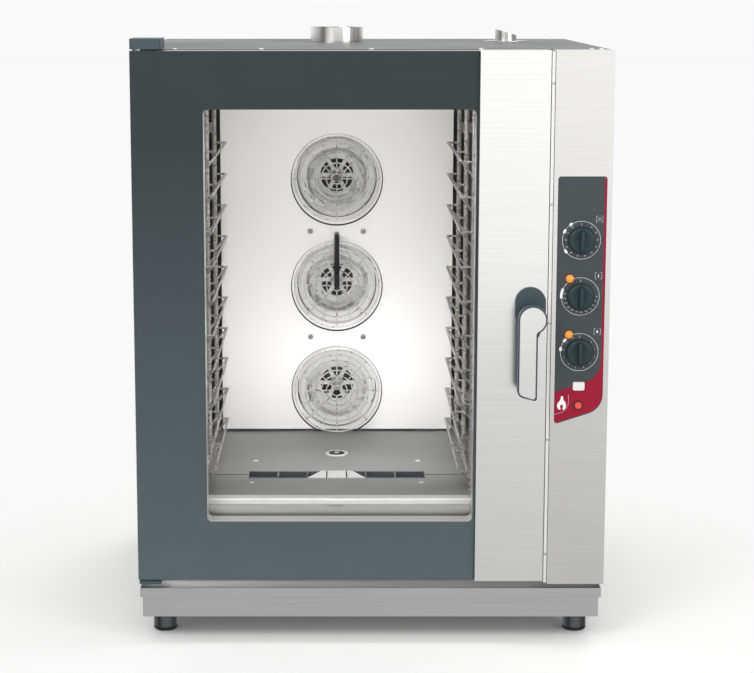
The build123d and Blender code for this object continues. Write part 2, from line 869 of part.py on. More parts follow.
def glass_print():
    """The dark border on the back of the outer pane, open at the window."""
    inset = 2 * frame_inset
    outline = Pos((body_left + glass_right) / 2, (door_z + body_top) / 2) * Rectangle(
        glass_right - body_left - inset, door_height - inset
    )
    border = outline - window_outline(0, window_corner)
    return front_plate(border, face_y + outer_glass_thickness, print_thickness)


def door_steel_strip():
    """The folded steel cover beside the glass, which carries the handle."""
    x = (glass_right + seat_gap, door_right)
    z = (door_z, body_top)
    back = door_back_y - 2.0
    strip = block(x, (face_y, back), z)
    strip -= block((x[0] - 1, x[1] - sheet), (face_y + sheet, back + 1), (z[0] + sheet, z[1] - sheet))
    hole = spindle_radius + 1
    return strip - rod(hole, (handle_x, face_y - 1, handle_z), (handle_x, face_y + sheet + 1, handle_z))


def door_frame():
    """A folded tray behind the glass, with a stepped seat for the inner pane."""
    x = (body_left + frame_inset, door_right - sheet)
    z = (door_z + sheet, body_top - sheet)
    lap = inner_glass_lap + seat_gap
    seat_y = door_back_y - inner_glass_thickness - 0.5
    front = print_back_y
    walls = (x[0] + sheet, x[1] - sheet), (z[0] + sheet, z[1] - sheet)
    inside = Pos(sum(walls[0]) / 2, sum(walls[1]) / 2) * Rectangle(
        walls[0][1] - walls[0][0], walls[1][1] - walls[1][0]
    )
    tray = block(x, (front, door_back_y), z)
    shallow = inside - window_outline(sheet, window_corner + sheet)
    deep = inside - window_outline(lap + sheet, inner_glass_corner + sheet)
    tray -= front_plate(shallow, front - 1, seat_y - sheet - front + 1)
    tray -= front_plate(deep, front - 1, door_back_y - sheet - front + 1)
    tray -= front_plate(window_outline(lap, inner_glass_corner), seat_y, inner_glass_thickness + 2)
    tray -= front_plate(window_outline(0, window_corner), front - 1, door_thickness)
    return bored_frame(tray + hinge_blocks(z) + latch_bush(x))


def hinge_blocks(z):
    """Blocks in the tray that grip the two hinge pins."""
    half = hinge_block / 2
    x = (body_left + frame_inset, hinge_x + half)
    y = (hinge_y - half, hinge_y + half)
    return [block(x, y, (z[0], z[0] + hinge_pin_hold)), block(x, y, (z[1] - hinge_pin_hold, z[1]))]


def latch_bush(x):
    """The boss that carries the latch spindle through the door, and the strip's backing."""
    boss = rod(2 * spindle_radius, (handle_x, face_y + sheet, handle_z), (handle_x, door_back_y, handle_z))
    backing = block((x[1] - sheet, x[1]), (face_y + sheet, door_back_y), (door_z + sheet, body_top - sheet))
    return [boss, backing]


def bored_frame(tray):
    """Bores the tray for its pins and for the latch spindle."""
    pin = hinge_pin_radius + press_clearance
    depth = hinge_pin_hold + sheet + 1
    tray -= rod(pin, (hinge_x, hinge_y, door_z - 1), (hinge_x, hinge_y, door_z + depth))
    tray -= rod(pin, (hinge_x, hinge_y, body_top - depth), (hinge_x, hinge_y, body_top + 1))
    bore = spindle_radius + bore_clearance
    return tray - rod(bore, (handle_x, face_y - 1, handle_z), (handle_x, door_back_y + 1, handle_z))


def door_inner_glass():
    """The inner pane, in its seat at the back of the door."""
    seat_y = door_back_y - inner_glass_thickness - 0.5
    return front_plate(window_outline(inner_glass_lap, inner_glass_corner), seat_y, inner_glass_thickness)


def glass_clips():
    """Four clips that hold the inner pane at its sides."""
    clips = []
    glass_back = door_back_y - 0.5
    for side, edge in ((-1, window_left - inner_glass_lap), (1, window_right + inner_glass_lap)):
        for z in (window_low + door_height * 0.12, window_high - door_height * 0.12):
            high = (z - clip_width / 2, z + clip_width / 2)
            over = tuple(sorted((edge, edge - side * clip_lap)))
            bridge = tuple(sorted((edge - side * clip_lap, edge + side * clip_foot)))
            clip = block(bridge, (door_back_y, door_back_y + clip_lift), high)
            clips += (clip + block(over, (glass_back, door_back_y + clip_lift), high)).solids()
    return Compound(clips)


def hinge_pins():
    """The upper and lower pins, fixed in the door and turning in the brackets."""
    cap_top = body_top + hinge_cap_lift + hinge_cap_height
    high = cap_top - hinge_cap_skin - 1
    upper = rod(hinge_pin_radius, (hinge_x, hinge_y, body_top - hinge_pin_hold), (hinge_x, hinge_y, high))
    low = door_z - hinge_plate_gap - hinge_plate_thickness
    lower = rod(hinge_pin_radius, (hinge_x, hinge_y, low), (hinge_x, hinge_y, door_z + hinge_pin_hold))
    return Compound([upper.solid(), lower.solid()])


def hinge_brackets():
    """The cap on the roof and the plate under the door, bored for the pins."""
    bore = hinge_pin_radius + bore_clearance
    x = (body_left + 1, body_left + 1 + hinge_cap_width)
    low = body_top + hinge_cap_lift
    cap = block(x, (face_y + hinge_front_inset, mouth_y + hinge_cap_tail), (low, low + hinge_cap_height))
    cap = fillet(cap.edges().filter_by(Axis.Z), hinge_cap_corner)
    cap += block(
        (x[0] + hinge_cap_corner, x[1] - hinge_cap_corner),
        (mouth_y + seat_gap, mouth_y + hinge_cap_tail - hinge_cap_corner),
        (body_top, low),
    )
    high = low + hinge_cap_height - hinge_cap_skin
    cap -= rod(bore, (hinge_x, hinge_y, low - 1), (hinge_x, hinge_y, high))
    top = door_z - hinge_plate_gap
    x = (body_left + 3, body_left + 3 + hinge_plate_width)
    plate = block(x, (face_y + hinge_front_inset, mouth_y), (top - hinge_plate_thickness, top))
    plate += block(x, (mouth_y - 3, mouth_y), (deck_z + 1, top))
    plate -= rod(bore, (hinge_x, hinge_y, deck_z), (hinge_x, hinge_y, top + 1))
    return Compound([cap.solid(), plate.solid()])


def door_gasket():
    """The rubber ring round the cavity mouth, with a rounded sealing edge."""
    near = gasket_offset
    far = gasket_offset + gasket_width
    depth = door_gap - seat_gap
    outer, inner = [
        rounded(
            (cavity_left - grow, cavity_right + grow), (cavity_z - grow, ceiling_z + grow), window_corner + grow
        )
        for grow in (far, near)
    ]
    ring = front_plate(outer - inner, mouth_y - depth, depth)
    return chamfer(ring.edges().group_by(Axis.Y)[0], depth * 0.4)


# ---- Handle and latch -------------------------------------------------------
def lever_outline(inset):
    """The lever seen from the front: a round head over an arm with a slanted tip."""
    radius = lever_head_radius - inset
    left = -lever_head_radius + inset
    right = -lever_head_radius + lever_arm_width - inset
    low = -lever_length + inset
    arm = Polyline(
        (left, 0), (right, 0), (right, low), (left, low + lever_tip_slope), close=True
    )
    outline = make_face(arm)
    corners = outline.vertices().group_by(Axis.Y)
    outline = fillet(corners[1], lever_tip_radius - inset)
    outline = fillet(outline.vertices().sort_by(Axis.Y)[0], lever_toe_radius)
    outline += Circle(radius)
    notch = [v for v in outline.vertices() if abs(v.X - right) < 0.01 and -lever_head_radius < v.Y < 0]
    return fillet(notch, lever_neck_radius) if notch else outline


def handle_rosette():
    """The plate behind the lever: an arched top that narrows towards its foot."""
    half = rosette_width / 2
    foot = rosette_foot_width / 2
    outline = Pos(0, rosette_rise - half) * Circle(half)
    body = Polyline(
        (-half, rosette_rise - half),
        (half, rosette_rise - half),
        (half, 0),
        (foot, -rosette_drop),
        (-foot, -rosette_drop),
        (-half, 0),
        close=True,
    )
    outline += make_face(body)
    outline = fillet(outline.vertices().group_by(Axis.Y)[0], rosette_foot_corner)
    plate = front_plate(Pos(handle_x, handle_z) * outline, rosette_y, rosette_thickness)
    plate = chamfer(plate.faces().sort_by(Axis.Y)[0].edges(), rosette_bevel)
    bore = spindle_radius + bore_clearance
    return plate - rod(bore, (handle_x, rosette_y - 1, handle_z), (handle_x, face_y + 1, handle_z))


def handle_lever():
    """The lever's dark core: a hub on the spindle and an arm that stands off the door."""
    front = face_y - lever_reach
    place = Pos(handle_x, handle_z)
    arm = front_plate(place * lever_outline(0), front, lever_arm_thickness)
    arm = chamfer(arm.faces().sort_by(Axis.Y)[-1].edges(), lever_edge_radius)
    hub_end = rosette_y - seat_gap
    hub_start = front + lever_arm_thickness - lever_hub_lap
    boss = lever_head_radius - lever_hub_step
    arm += rod(boss, (handle_x, hub_start, handle_z), (handle_x, hub_end, handle_z))
    grip = (handle_x, hub_end - spindle_grip, handle_z)
    return arm - rod(spindle_radius + press_clearance, grip, (handle_x, hub_end + 1, handle_z))


def handle_cover():
    """The steel face let onto the lever."""
    place = Pos(handle_x, handle_z)
    cover = front_plate(place * lever_outline(cover_inset), face_y - front_reach, cover_thickness)
    return chamfer(cover.faces().sort_by(Axis.Y)[0].edges(), cover_edge)


def latch_spindle():
    """The spindle through the door, with the locking tongue on its end."""
    start = rosette_y - seat_gap - spindle_grip
    end = tongue_y + tongue_thickness
    shaft = rod(spindle_radius, (handle_x, start, handle_z), (handle_x, end, handle_z))
    half = tongue_width / 2
    reach = tongue_length + tongue_width
    tongue = Pos(0, tongue_length / 2) * RectangleRounded(tongue_width, reach, half - 0.5)
    shaft += front_plate(Pos(handle_x, handle_z) * tongue, tongue_y, tongue_thickness)
    return shaft.solid()


def latch_keeper():
    """The cup behind the front frame that the tongue turns in, with its roller."""
    x = (pocket_x[0] - sheet, pocket_x[1] + sheet)
    z = (pocket_z[0] - sheet, pocket_z[1] + sheet)
    y = (mouth_y + sheet, mouth_y + sheet + pocket_depth)
    cup = block(x, y, z) - block(pocket_x, (y[0] - 1, y[1] - sheet), pocket_z)
    roller_y = tongue_y + tongue_thickness / 2
    start = (pocket_x[0] - sheet / 2, roller_y, roller_z)
    return cup + rod(keeper_roller_radius, start, (pocket_x[1] + sheet / 2, roller_y, roller_z))


# ---- Control column ---------------------------------------------------------
def column_front():
    """The folded front of the control column, pierced for its controls."""
    x = (column_left, body_right)
    z = (deck_z + column_floor_gap, body_top)
    column = block(x, (face_y, mouth_y), z)
    column -= block(
        (x[0] + sheet, x[1] - sheet), (face_y + sheet, mouth_y + 1), (z[0] + sheet, z[1] - sheet)
    )
    for cx, cz, radius in control_holes():
        column -= rod(radius, (cx, face_y - 1, cz), (cx, face_y + sheet + 1, cz))
    return column - key_hole(face_y - 1, sheet + 2)


def control_holes():
    """Each round hole of the control panel as (x, z, radius)."""
    holes = [(dial_x, z, knob_stub_radius + 1.5) for z in dial_zs]
    holes += [(dial_x - lamp_left, z + lamp_rise, lamp_barrel_radius) for z in dial_zs[1:]]
    return holes + [(dial_x, reset_z, reset_radius + bezel_wall * 0.7)]


def key_hole(y, depth):
    """The rectangular hole that the push key travels in."""
    half = key_width / 2 + seat_gap, key_height / 2 + seat_gap
    x = (dial_x - half[0], dial_x + half[0])
    outline = rounded(x, (key_z - half[1], key_z + half[1]), button_corner)
    return front_plate(outline, y, depth)


def control_overlay():
    """The printed film on the column, with a slanted foot that sweeps up to the right."""
    left = column_left + overlay_left_inset
    right = body_right - overlay_right_inset
    edge = Polyline(
        (left, overlay_top_z), (right, overlay_top_z), (right, overlay_bottom_z + overlay_slope),
        (left, overlay_bottom_z), close=True,
    )
    outline = make_face(edge)
    lower = outline.vertices().sort_by(Axis.Y)
    outline = fillet(lower[1], overlay_curve)
    outline = fillet(outline.vertices().sort_by(Axis.Y)[0], overlay_corner)
    outline = fillet(outline.vertices().group_by(Axis.Y)[-1], overlay_corner)
    film = front_plate(outline, overlay_y, overlay_thickness)
    for cx, cz, radius in control_holes():
        film -= rod(radius, (cx, overlay_y - 1, cz), (cx, face_y + 1, cz))
    return film - key_hole(overlay_y - 1, overlay_thickness + 2)


def indicator_lamps():
    """Two domed lamps, each with a barrel through the column."""
    lamps = []
    for z in dial_zs[1:]:
        centre = (dial_x - lamp_left, z + lamp_rise)
        sphere_radius = (lamp_radius**2 + lamp_dome**2) / (2 * lamp_dome)
        dome = Pos(0, 0, lamp_rim + lamp_dome - sphere_radius) * Sphere(sphere_radius)
        dome &= rod(2 * lamp_radius, (0, 0, lamp_rim), (0, 0, 2 * lamp_radius))
        shape = rod(lamp_radius, (0, 0, 0), (0, 0, lamp_rim)) + dome
        shape += rod(lamp_barrel_radius, (0, 0, -lamp_barrel_length), (0, 0, 0))
        lamps.append((Pos(centre[0], overlay_y, centre[1]) * Rot(90, 0, 0) * shape).solid())
    return Compound(lamps)


def reset_bezel():
    """The ring round the reset button."""
    outer = reset_radius + seat_gap + bezel_wall
    barrel = reset_radius + bezel_wall * 0.7
    front = overlay_y - bezel_thickness
    ring = rod(outer, (dial_x, front, reset_z), (dial_x, overlay_y, reset_z))
    ring = chamfer(ring.edges().group_by(Axis.Y)[0], 0.8)
    ring += rod(barrel, (dial_x, overlay_y, reset_z), (dial_x, face_y + sheet, reset_z))
    hole = reset_radius + seat_gap
    return ring - rod(hole, (dial_x, front - 1, reset_z), (dial_x, face_y + sheet + 1, reset_z))


def switch_bodies():
    """Three rotary switches and two push switches, seated behind the column."""
    front = face_y + sheet
    back = front + switch_depth
    half = switch_width / 2
    bodies = []
    for z in dial_zs:
        body = block((dial_x - half, dial_x + half), (front, back), (z - half, z + half))
        x, lamp_z = dial_x - lamp_left, z + lamp_rise
        body -= rod(lamp_barrel_radius + seat_gap, (x, front - 1, lamp_z), (x, back + 1, lamp_z))
        bore = knob_stub_radius + bore_clearance
        bodies.append(body - rod(bore, (dial_x, front - 1, z), (dial_x, back - 5, z)))
    width = push_switch_width / 2
    height = push_switch_height / 2
    for z, cup in ((key_z, key_hole(front - 1, push_cup() + 1)), (reset_z, reset_cup(front))):
        x = (dial_x - width, dial_x + width)
        body = block(x, (front, front + push_switch_depth), (z - height, z + height))
        end = front + push_recess + push_plunger_length + 2 * button_travel
        bore = rod(push_plunger_radius + bore_clearance, (dial_x, front, z), (dial_x, end, z))
        bodies.append(body - cup - bore)
    return Compound([solid for body in bodies for solid in body.solids()])


def push_cup():
    """Depth of the hollow that a pushed key sinks into, behind the column."""
    return push_recess + button_travel + 2 * seat_gap


def reset_cup(front):
    """The round hollow behind the reset button."""
    radius = reset_radius + seat_gap
    return rod(radius, (dial_x, front - 1, reset_z), (dial_x, front + push_cup(), reset_z))


def knob(z):
    """A knob: a round skirt, a tapered grip bar across it and a stub into its switch."""
    base = overlay_y - knob_gap
    top_radius = knob_radius - knob_draft
    skirt = Cone(knob_radius, top_radius, knob_skirt, align=(Align.CENTER, Align.CENTER, Align.MIN))
    skirt = chamfer(skirt.edges().group_by(Axis.Z)[-1], knob_edge)
    foot_length = 2 * (knob_radius - knob_grip_inset)
    low = Rectangle(knob_grip_width + 2 * knob_grip_foot, foot_length)
    high = Rectangle(knob_grip_width, foot_length - 2 * knob_grip_lean)
    top = knob_skirt + knob_grip_height
    grip = loft([Pos(0, 0, knob_skirt - 1) * low, Pos(0, 0, top) * high])
    grip = chamfer(grip.edges().group_by(Axis.Z)[-1], knob_grip_edge)
    stub = rod(knob_stub_radius, (0, 0, -knob_stub_length), (0, 0, 1))
    return Pos(dial_x, base, z) * Rot(90, 0, 0) * (skirt + grip + stub)


def push_key():
    """The white rectangular key with rounded edges and a plunger behind it."""
    front = overlay_y - key_proud
    back = face_y + sheet + push_recess
    x = (dial_x - key_width / 2, dial_x + key_width / 2)
    z = (key_z - key_height / 2, key_z + key_height / 2)
    key = front_plate(rounded(x, z, button_corner), front, back - front)
    key = chamfer(key.faces().sort_by(Axis.Y)[0].edges(), button_bevel)
    end = back + push_plunger_length
    return key + rod(push_plunger_radius, (dial_x, back, key_z), (dial_x, end, key_z))


def reset_button():
    """The round red button with a plunger behind it."""
    front = overlay_y - reset_proud
    back = face_y + sheet + push_recess
    button = rod(reset_radius, (dial_x, front, reset_z), (dial_x, back, reset_z))
    button = chamfer(button.edges().group_by(Axis.Y)[0], button_bevel)
    end = back + push_plunger_length
    return button + rod(push_plunger_radius, (dial_x, back, reset_z), (dial_x, end, reset_z))


# ---- Flue, vent, gas and water ----------------------------------------------
def flue_pipe():
    """The flue: a spigot on the heat exchanger that widens to the outlet on the roof."""
    neck = ceiling_z + sheet + insulation_thickness
    top = body_top + flue_rise
    shank = flue_radius - flue_step
    shoulder = body_top + flue_wall
    outer = [
        (flue_spigot_radius, ceiling_z),
        (flue_spigot_radius, neck),
        (shank, neck + flue_taper),
        (shank, body_top),
        (flue_radius, body_top),
        (flue_radius, top),
    ]
    inner = [
        (flue_radius - flue_wall, top),
        (flue_radius - flue_wall, shoulder),
        (shank - flue_wall, shoulder),
        (shank - flue_wall, neck + flue_taper),
        (flue_spigot_radius - flue_wall, neck),
        (flue_spigot_radius - flue_wall, ceiling_z),
    ]
    wall = make_face(Polyline(*outer, *inner, close=True))
    return Pos(cavity_x, flue_y, 0) * revolve(Plane.XZ * wall, Axis.Z)


def vent_outlet():
    """The steam vent: an elbow from the cavity to a slant-cut end, and its roof collar."""
    top = body_top + vent_rise
    points = [
        (cavity_right, vent_y, vent_low_z),
        (vent_x, vent_y, vent_low_z),
        (vent_x, vent_y, top + vent_radius),
    ]
    pipe = mitred_rod(vent_radius, points) - mitred_rod(vent_radius - vent_wall, points)
    slope = Pos(vent_x, vent_y, top) * Rot(0, vent_slant, 0)
    reach = (-3 * vent_radius, 3 * vent_radius)
    pipe -= slope * block(reach, reach, (0, 3 * vent_radius))
    high = body_top + vent_collar_thickness
    collar = rod(vent_collar_radius, (vent_x, vent_y, body_top), (vent_x, vent_y, high))
    collar -= rod(vent_radius + seat_gap, (vent_x, vent_y, body_top - 1), (vent_x, vent_y, high + 1))
    return Compound([pipe.solid(), collar.solid()])


def heat_exchanger():
    """Header and tubes between the fan panel and the rear wall, fed by the burner."""
    back = rear_wall_y - exchanger_wall_gap
    low = ceiling_z - exchanger_header_height
    reach = exchanger_spread + exchanger_header_lap
    x = (cavity_x - reach, cavity_x + reach)
    header = block(x, (back - exchanger_header_depth, back), (low, ceiling_z))
    throat = flue_spigot_radius - flue_wall
    header -= rod(throat, (cavity_x, flue_y, low + exchanger_header_floor), (cavity_x, flue_y, ceiling_z + 1))
    for side in (-1, 1):
        x = cavity_x + side * exchanger_spread
        header += rod(exchanger_tube_radius, (x, burner_y, burner_z), (x, burner_y, low + 1))
    left = cavity_x - exchanger_spread - exchanger_tube_radius
    return header + rod(exchanger_tube_radius, (left, burner_y, burner_z), (feed_x, burner_y, burner_z))


def gas_train():
    """The gas pipe from the rear inlet through its valve to the burner."""
    y = rear_y - gas_valve_from_rear
    half = gas_valve_width / 2
    z = (gas_z - half, gas_z - half + gas_valve_height)
    valve = block((gas_x - half, gas_x + half), (y - half, y + half), z)
    valve += rod(gas_pipe_radius, (gas_x, y, gas_z), (gas_x, rear_y + 1, gas_z))
    valve += rod(gas_radius, (gas_x, rear_y, gas_z), (gas_x, pipe_end_y, gas_z))
    points = [
        (gas_x, y, gas_z),
        (gas_x, y, burner_z),
        (gas_x, burner_y, burner_z),
        (feed_x, burner_y, burner_z),
    ]
    return (valve + mitred_rod(gas_pipe_radius, points)).solid()


def water_inlets():
    """Two water connections, each with a hexagon collar seated on the rear cover."""
    inlets = []
    for x in water_inlet_xs():
        seat = (x, rear_y, water_inlet_z)
        inlet = rod(water_radius, seat, (x, pipe_end_y, water_inlet_z))
        inlet += bar(water_hex_radius, seat, (x, rear_y + water_hex_length, water_inlet_z))
        tail = (x, rear_y - water_tail, water_inlet_z)
        inlet += rod(water_stem_radius, tail, (x, rear_y + 1, water_inlet_z))
        inlets += inlet.solids()
    return Compound(inlets)


def drain_pipe():
    """The drain: down from the cavity floor, then out at the rear to its ferrule."""
    points = [
        (cavity_x, drain_y, cavity_z - sheet),
        (cavity_x, drain_y, drain_outlet_z),
        (cavity_x, pipe_end_y, drain_outlet_z),
    ]
    pipe = mitred_rod(drain_radius, points)
    pipe += rod(drain_outlet_radius, (cavity_x, rear_y, drain_outlet_z), points[-1])
    return pipe - mitred_rod(drain_radius - drain_wall, points)


def cable_gland():
    """The strain relief for the mains cable: a hexagon body and a domed nut."""
    x = body_right - gland_inset
    hex_end = rear_y + gland_hex_length
    nut_end = hex_end + gland_nut_length
    gland = rod(gland_radius, (x, rear_y - gland_tail, gland_z), (x, hex_end, gland_z))
    gland += bar(gland_hex_radius, (x, rear_y, gland_z), (x, hex_end, gland_z))
    nut = rod(gland_nut_radius, (x, hex_end, gland_z), (x, nut_end, gland_z))
    gland += chamfer(nut.edges().group_by(Axis.Y)[-1], gland_nut_radius / 4)
    return gland - rod(gland_bore_radius, (x, rear_y - gland_tail - 1, gland_z), (x, nut_end + 1, gland_z))


def insulation():
    """Mineral wool slabs on the five closed sides of the cavity."""
    t = insulation_thickness
    y = (mouth_y + sheet + insulation_setback, rear_wall_y)
    z = (cavity_z - sheet, ceiling_z + sheet)
    right = block((cavity_right + sheet, cavity_right + sheet + t), y, z)
    for radius, hole_y, hole_z in right_wall_holes():
        right -= rod(radius + seat_gap, (cavity_right, hole_y, hole_z), (feed_x + 1, hole_y, hole_z))
    left = block((cavity_left - sheet - t, cavity_left - sheet), y, z)
    x = (cavity_left - sheet - t, cavity_right + sheet + t)
    roof = block(x, y, (z[1], z[1] + t))
    roof -= rod(flue_spigot_radius + seat_gap, (cavity_x, flue_y, z[1] - 1), (cavity_x, flue_y, z[1] + t + 1))
    roof -= rod(vent_radius + seat_gap, (vent_x, vent_y, z[1] - 1), (vent_x, vent_y, z[1] + t + 1))
    under = block(x, y, (z[0] - t, z[0]))
    under -= channel_box(sheet + seat_gap, (z[0] - channel_sink - seat_gap, z[0] + 1))
    under -= rod(drain_radius + seat_gap, (cavity_x, drain_y, z[0] - t - 1), (cavity_x, drain_y, z[0] + 1))
    rear = block((cavity_left, cavity_right), (rear_wall_y + sheet, motor_y), z)
    for fan_z in fan_zs:
        rear -= rod(shaft_radius + 2, (cavity_x, rear_wall_y, fan_z), (cavity_x, motor_y + 1, fan_z))
    return Compound([slab.solid() for slab in (left, right, roof, under, rear)])


# ---- Every sub-part ---------------------------------------------------------
knob_names = ("timer_knob", "temperature_knob", "humidity_knob")
fan_names = ("bottom", "middle", "top")

sub_parts = {
    "base_plinth": base_plinth,
    "drip_gutter": drip_gutter,
    "adjustable_feet": adjustable_feet,
    "foot_pads": foot_pads,
    "left_side_panel": lambda: side_panel(-1),
    "right_side_panel": lambda: side_panel(1),
    "top_cover": top_cover,
    "rear_cover": rear_cover,
    "front_frame": front_frame,
    "cavity_left_wall": lambda: cavity_side(-1),
    "cavity_right_wall": lambda: cavity_side(1),
    "cavity_ceiling": cavity_ceiling,
    "cavity_floor": cavity_floor,
    "cavity_rear_wall": cavity_rear_wall,
    "drain_strainer": drain_strainer,
    "floor_grille": floor_grille,
    "fan_panel": fan_panel,
    "fan_motors": fan_motors,
    "humidifier_pipe": humidifier_pipe,
    "rack_left": lambda: rack(-1),
    "rack_right": lambda: rack(1),
    "rack_pegs": rack_pegs,
    "door_gasket": door_gasket,
    "column_front": column_front,
    "control_overlay": control_overlay,
    "indicator_lamps": indicator_lamps,
    "reset_bezel": reset_bezel,
    "switch_bodies": switch_bodies,
    "flue_pipe": flue_pipe,
    "vent_outlet": vent_outlet,
    "heat_exchanger": heat_exchanger,
    "gas_train": gas_train,
    "water_inlets": water_inlets,
    "drain_pipe": drain_pipe,
    "cable_gland": cable_gland,
    "insulation": insulation,
    "hinge_brackets": hinge_brackets,
    "latch_keeper": latch_keeper,
    "door_outer_glass": door_outer_glass,
    "glass_print": glass_print,
    "door_steel_strip": door_steel_strip,
    "door_frame": door_frame,
    "door_inner_glass": door_inner_glass,
    "glass_clips": glass_clips,
    "hinge_pins": hinge_pins,
    "handle_rosette": handle_rosette,
    "handle_lever": handle_lever,
    "handle_cover": handle_cover,
    "latch_spindle": latch_spindle,
    "push_key": push_key,
    "reset_button": reset_button,
}

for name, build in sub_parts.items():
    save(build(), name)
for name, height in zip(fan_names, fan_zs):
    save(fan_wheel(height), f"fan_wheel_{name}")
    save(fan_guard(height), f"fan_guard_{name}")
for name, height in zip(knob_names, dial_zs):
    save(knob(height), name)
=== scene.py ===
"""Looks of a gas combi steamer oven: finishes, round wire, prints, fasteners, lamps and camera.

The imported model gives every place. Lengths are in metres, +Z up, and the door faces -Y.
"""

import json
import logging
import math
from dataclasses import dataclass
from enum import Enum

import bmesh
import bpy
from mathutils import Matrix, Vector


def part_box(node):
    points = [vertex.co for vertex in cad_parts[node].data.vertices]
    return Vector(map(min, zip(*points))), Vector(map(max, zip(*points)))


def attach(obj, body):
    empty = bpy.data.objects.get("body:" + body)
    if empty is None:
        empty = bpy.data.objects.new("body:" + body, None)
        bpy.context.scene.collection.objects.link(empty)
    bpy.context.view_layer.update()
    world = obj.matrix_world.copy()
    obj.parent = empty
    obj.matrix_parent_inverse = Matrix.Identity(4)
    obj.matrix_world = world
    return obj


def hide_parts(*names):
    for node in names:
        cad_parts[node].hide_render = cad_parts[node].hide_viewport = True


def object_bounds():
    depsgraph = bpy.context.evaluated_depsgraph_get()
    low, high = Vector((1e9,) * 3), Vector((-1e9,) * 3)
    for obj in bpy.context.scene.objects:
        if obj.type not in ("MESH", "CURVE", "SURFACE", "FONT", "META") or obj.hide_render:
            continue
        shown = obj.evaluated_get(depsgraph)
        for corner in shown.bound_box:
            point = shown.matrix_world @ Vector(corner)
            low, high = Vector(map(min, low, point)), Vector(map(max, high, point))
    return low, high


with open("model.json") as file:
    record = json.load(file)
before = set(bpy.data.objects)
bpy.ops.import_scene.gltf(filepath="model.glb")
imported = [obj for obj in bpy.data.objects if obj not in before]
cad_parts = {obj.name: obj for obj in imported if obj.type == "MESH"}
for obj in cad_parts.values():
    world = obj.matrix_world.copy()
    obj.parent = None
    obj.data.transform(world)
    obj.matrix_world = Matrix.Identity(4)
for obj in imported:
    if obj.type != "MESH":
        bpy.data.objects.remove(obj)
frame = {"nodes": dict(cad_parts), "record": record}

log = logging.getLogger("oven")
cad_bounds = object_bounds()

Point = tuple[float, float, float]
Flat = tuple[float, float]
Mesh = bpy.types.Mesh
Socket = bpy.types.NodeSocket

MM = 0.001
EVEN: Point = (1.0, 1.0, 1.0)
WHITE: Point = (1.0, 1.0, 1.0)


class Grain(Enum):
    """The way that a sheet is brushed, as the stretch of its streaks along x, y and z."""

    ACROSS = (5.0, 520.0, 520.0)
    DEPTH = (520.0, 5.0, 520.0)
    UPRIGHT = (520.0, 520.0, 5.0)


class Facing(Enum):
    """The way that a small part stands out from its surface."""

    FRONT = "front"
    REAR = "rear"
    UP = "up"
    LEFT = "left"
    RIGHT = "right"

    def turn(self) -> Matrix:
        """Finds the rotation that takes +Z to this direction.

        Returns:
            The rotation.
        """
        turns = {
            Facing.FRONT: ("X", 90.0),
            Facing.REAR: ("X", -90.0),
            Facing.UP: ("X", 0.0),
            Facing.LEFT: ("Y", -90.0),
            Facing.RIGHT: ("Y", 90.0),
        }
        axis, degrees = turns[self]
        return Matrix.Rotation(math.radians(degrees), 4, axis)

    def at(self, point: Point) -> Matrix:
        """Returns the placing of a part that stands on a point and points this way."""
        return Matrix.Translation(point) @ self.turn()


class Level(Enum):
    """The three fans, from the floor up."""

    BOTTOM = "bottom"
    MIDDLE = "middle"
    TOP = "top"


# ---- Places -----------------------------------------------------------------
@dataclass(frozen=True)
class Place:
    """The box that a node of the model takes up."""

    low: Vector
    high: Vector

    @property
    def middle(self) -> Vector:
        """The centre of the box."""
        return (self.low + self.high) / 2

    @property
    def size(self) -> Vector:
        """The box's width, depth and height."""
        return self.high - self.low


def where(node: str) -> Place:
    """Looks up a node's box.

    Args:
        node: the node's name.

    Returns:
        Its place at rest.
    """
    low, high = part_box(node)
    return Place(Vector(low), Vector(high))


def opening(name: str) -> Place:
    """Looks up a stated opening.

    Args:
        name: the opening's name in the record.

    Returns:
        The box that stays free there.
    """
    for item in frame["record"]["physics"]["openings"]:
        if item["name"] == name:
            low, high = item["box_m"]
            return Place(Vector(low), Vector(high))
    raise KeyError(name)


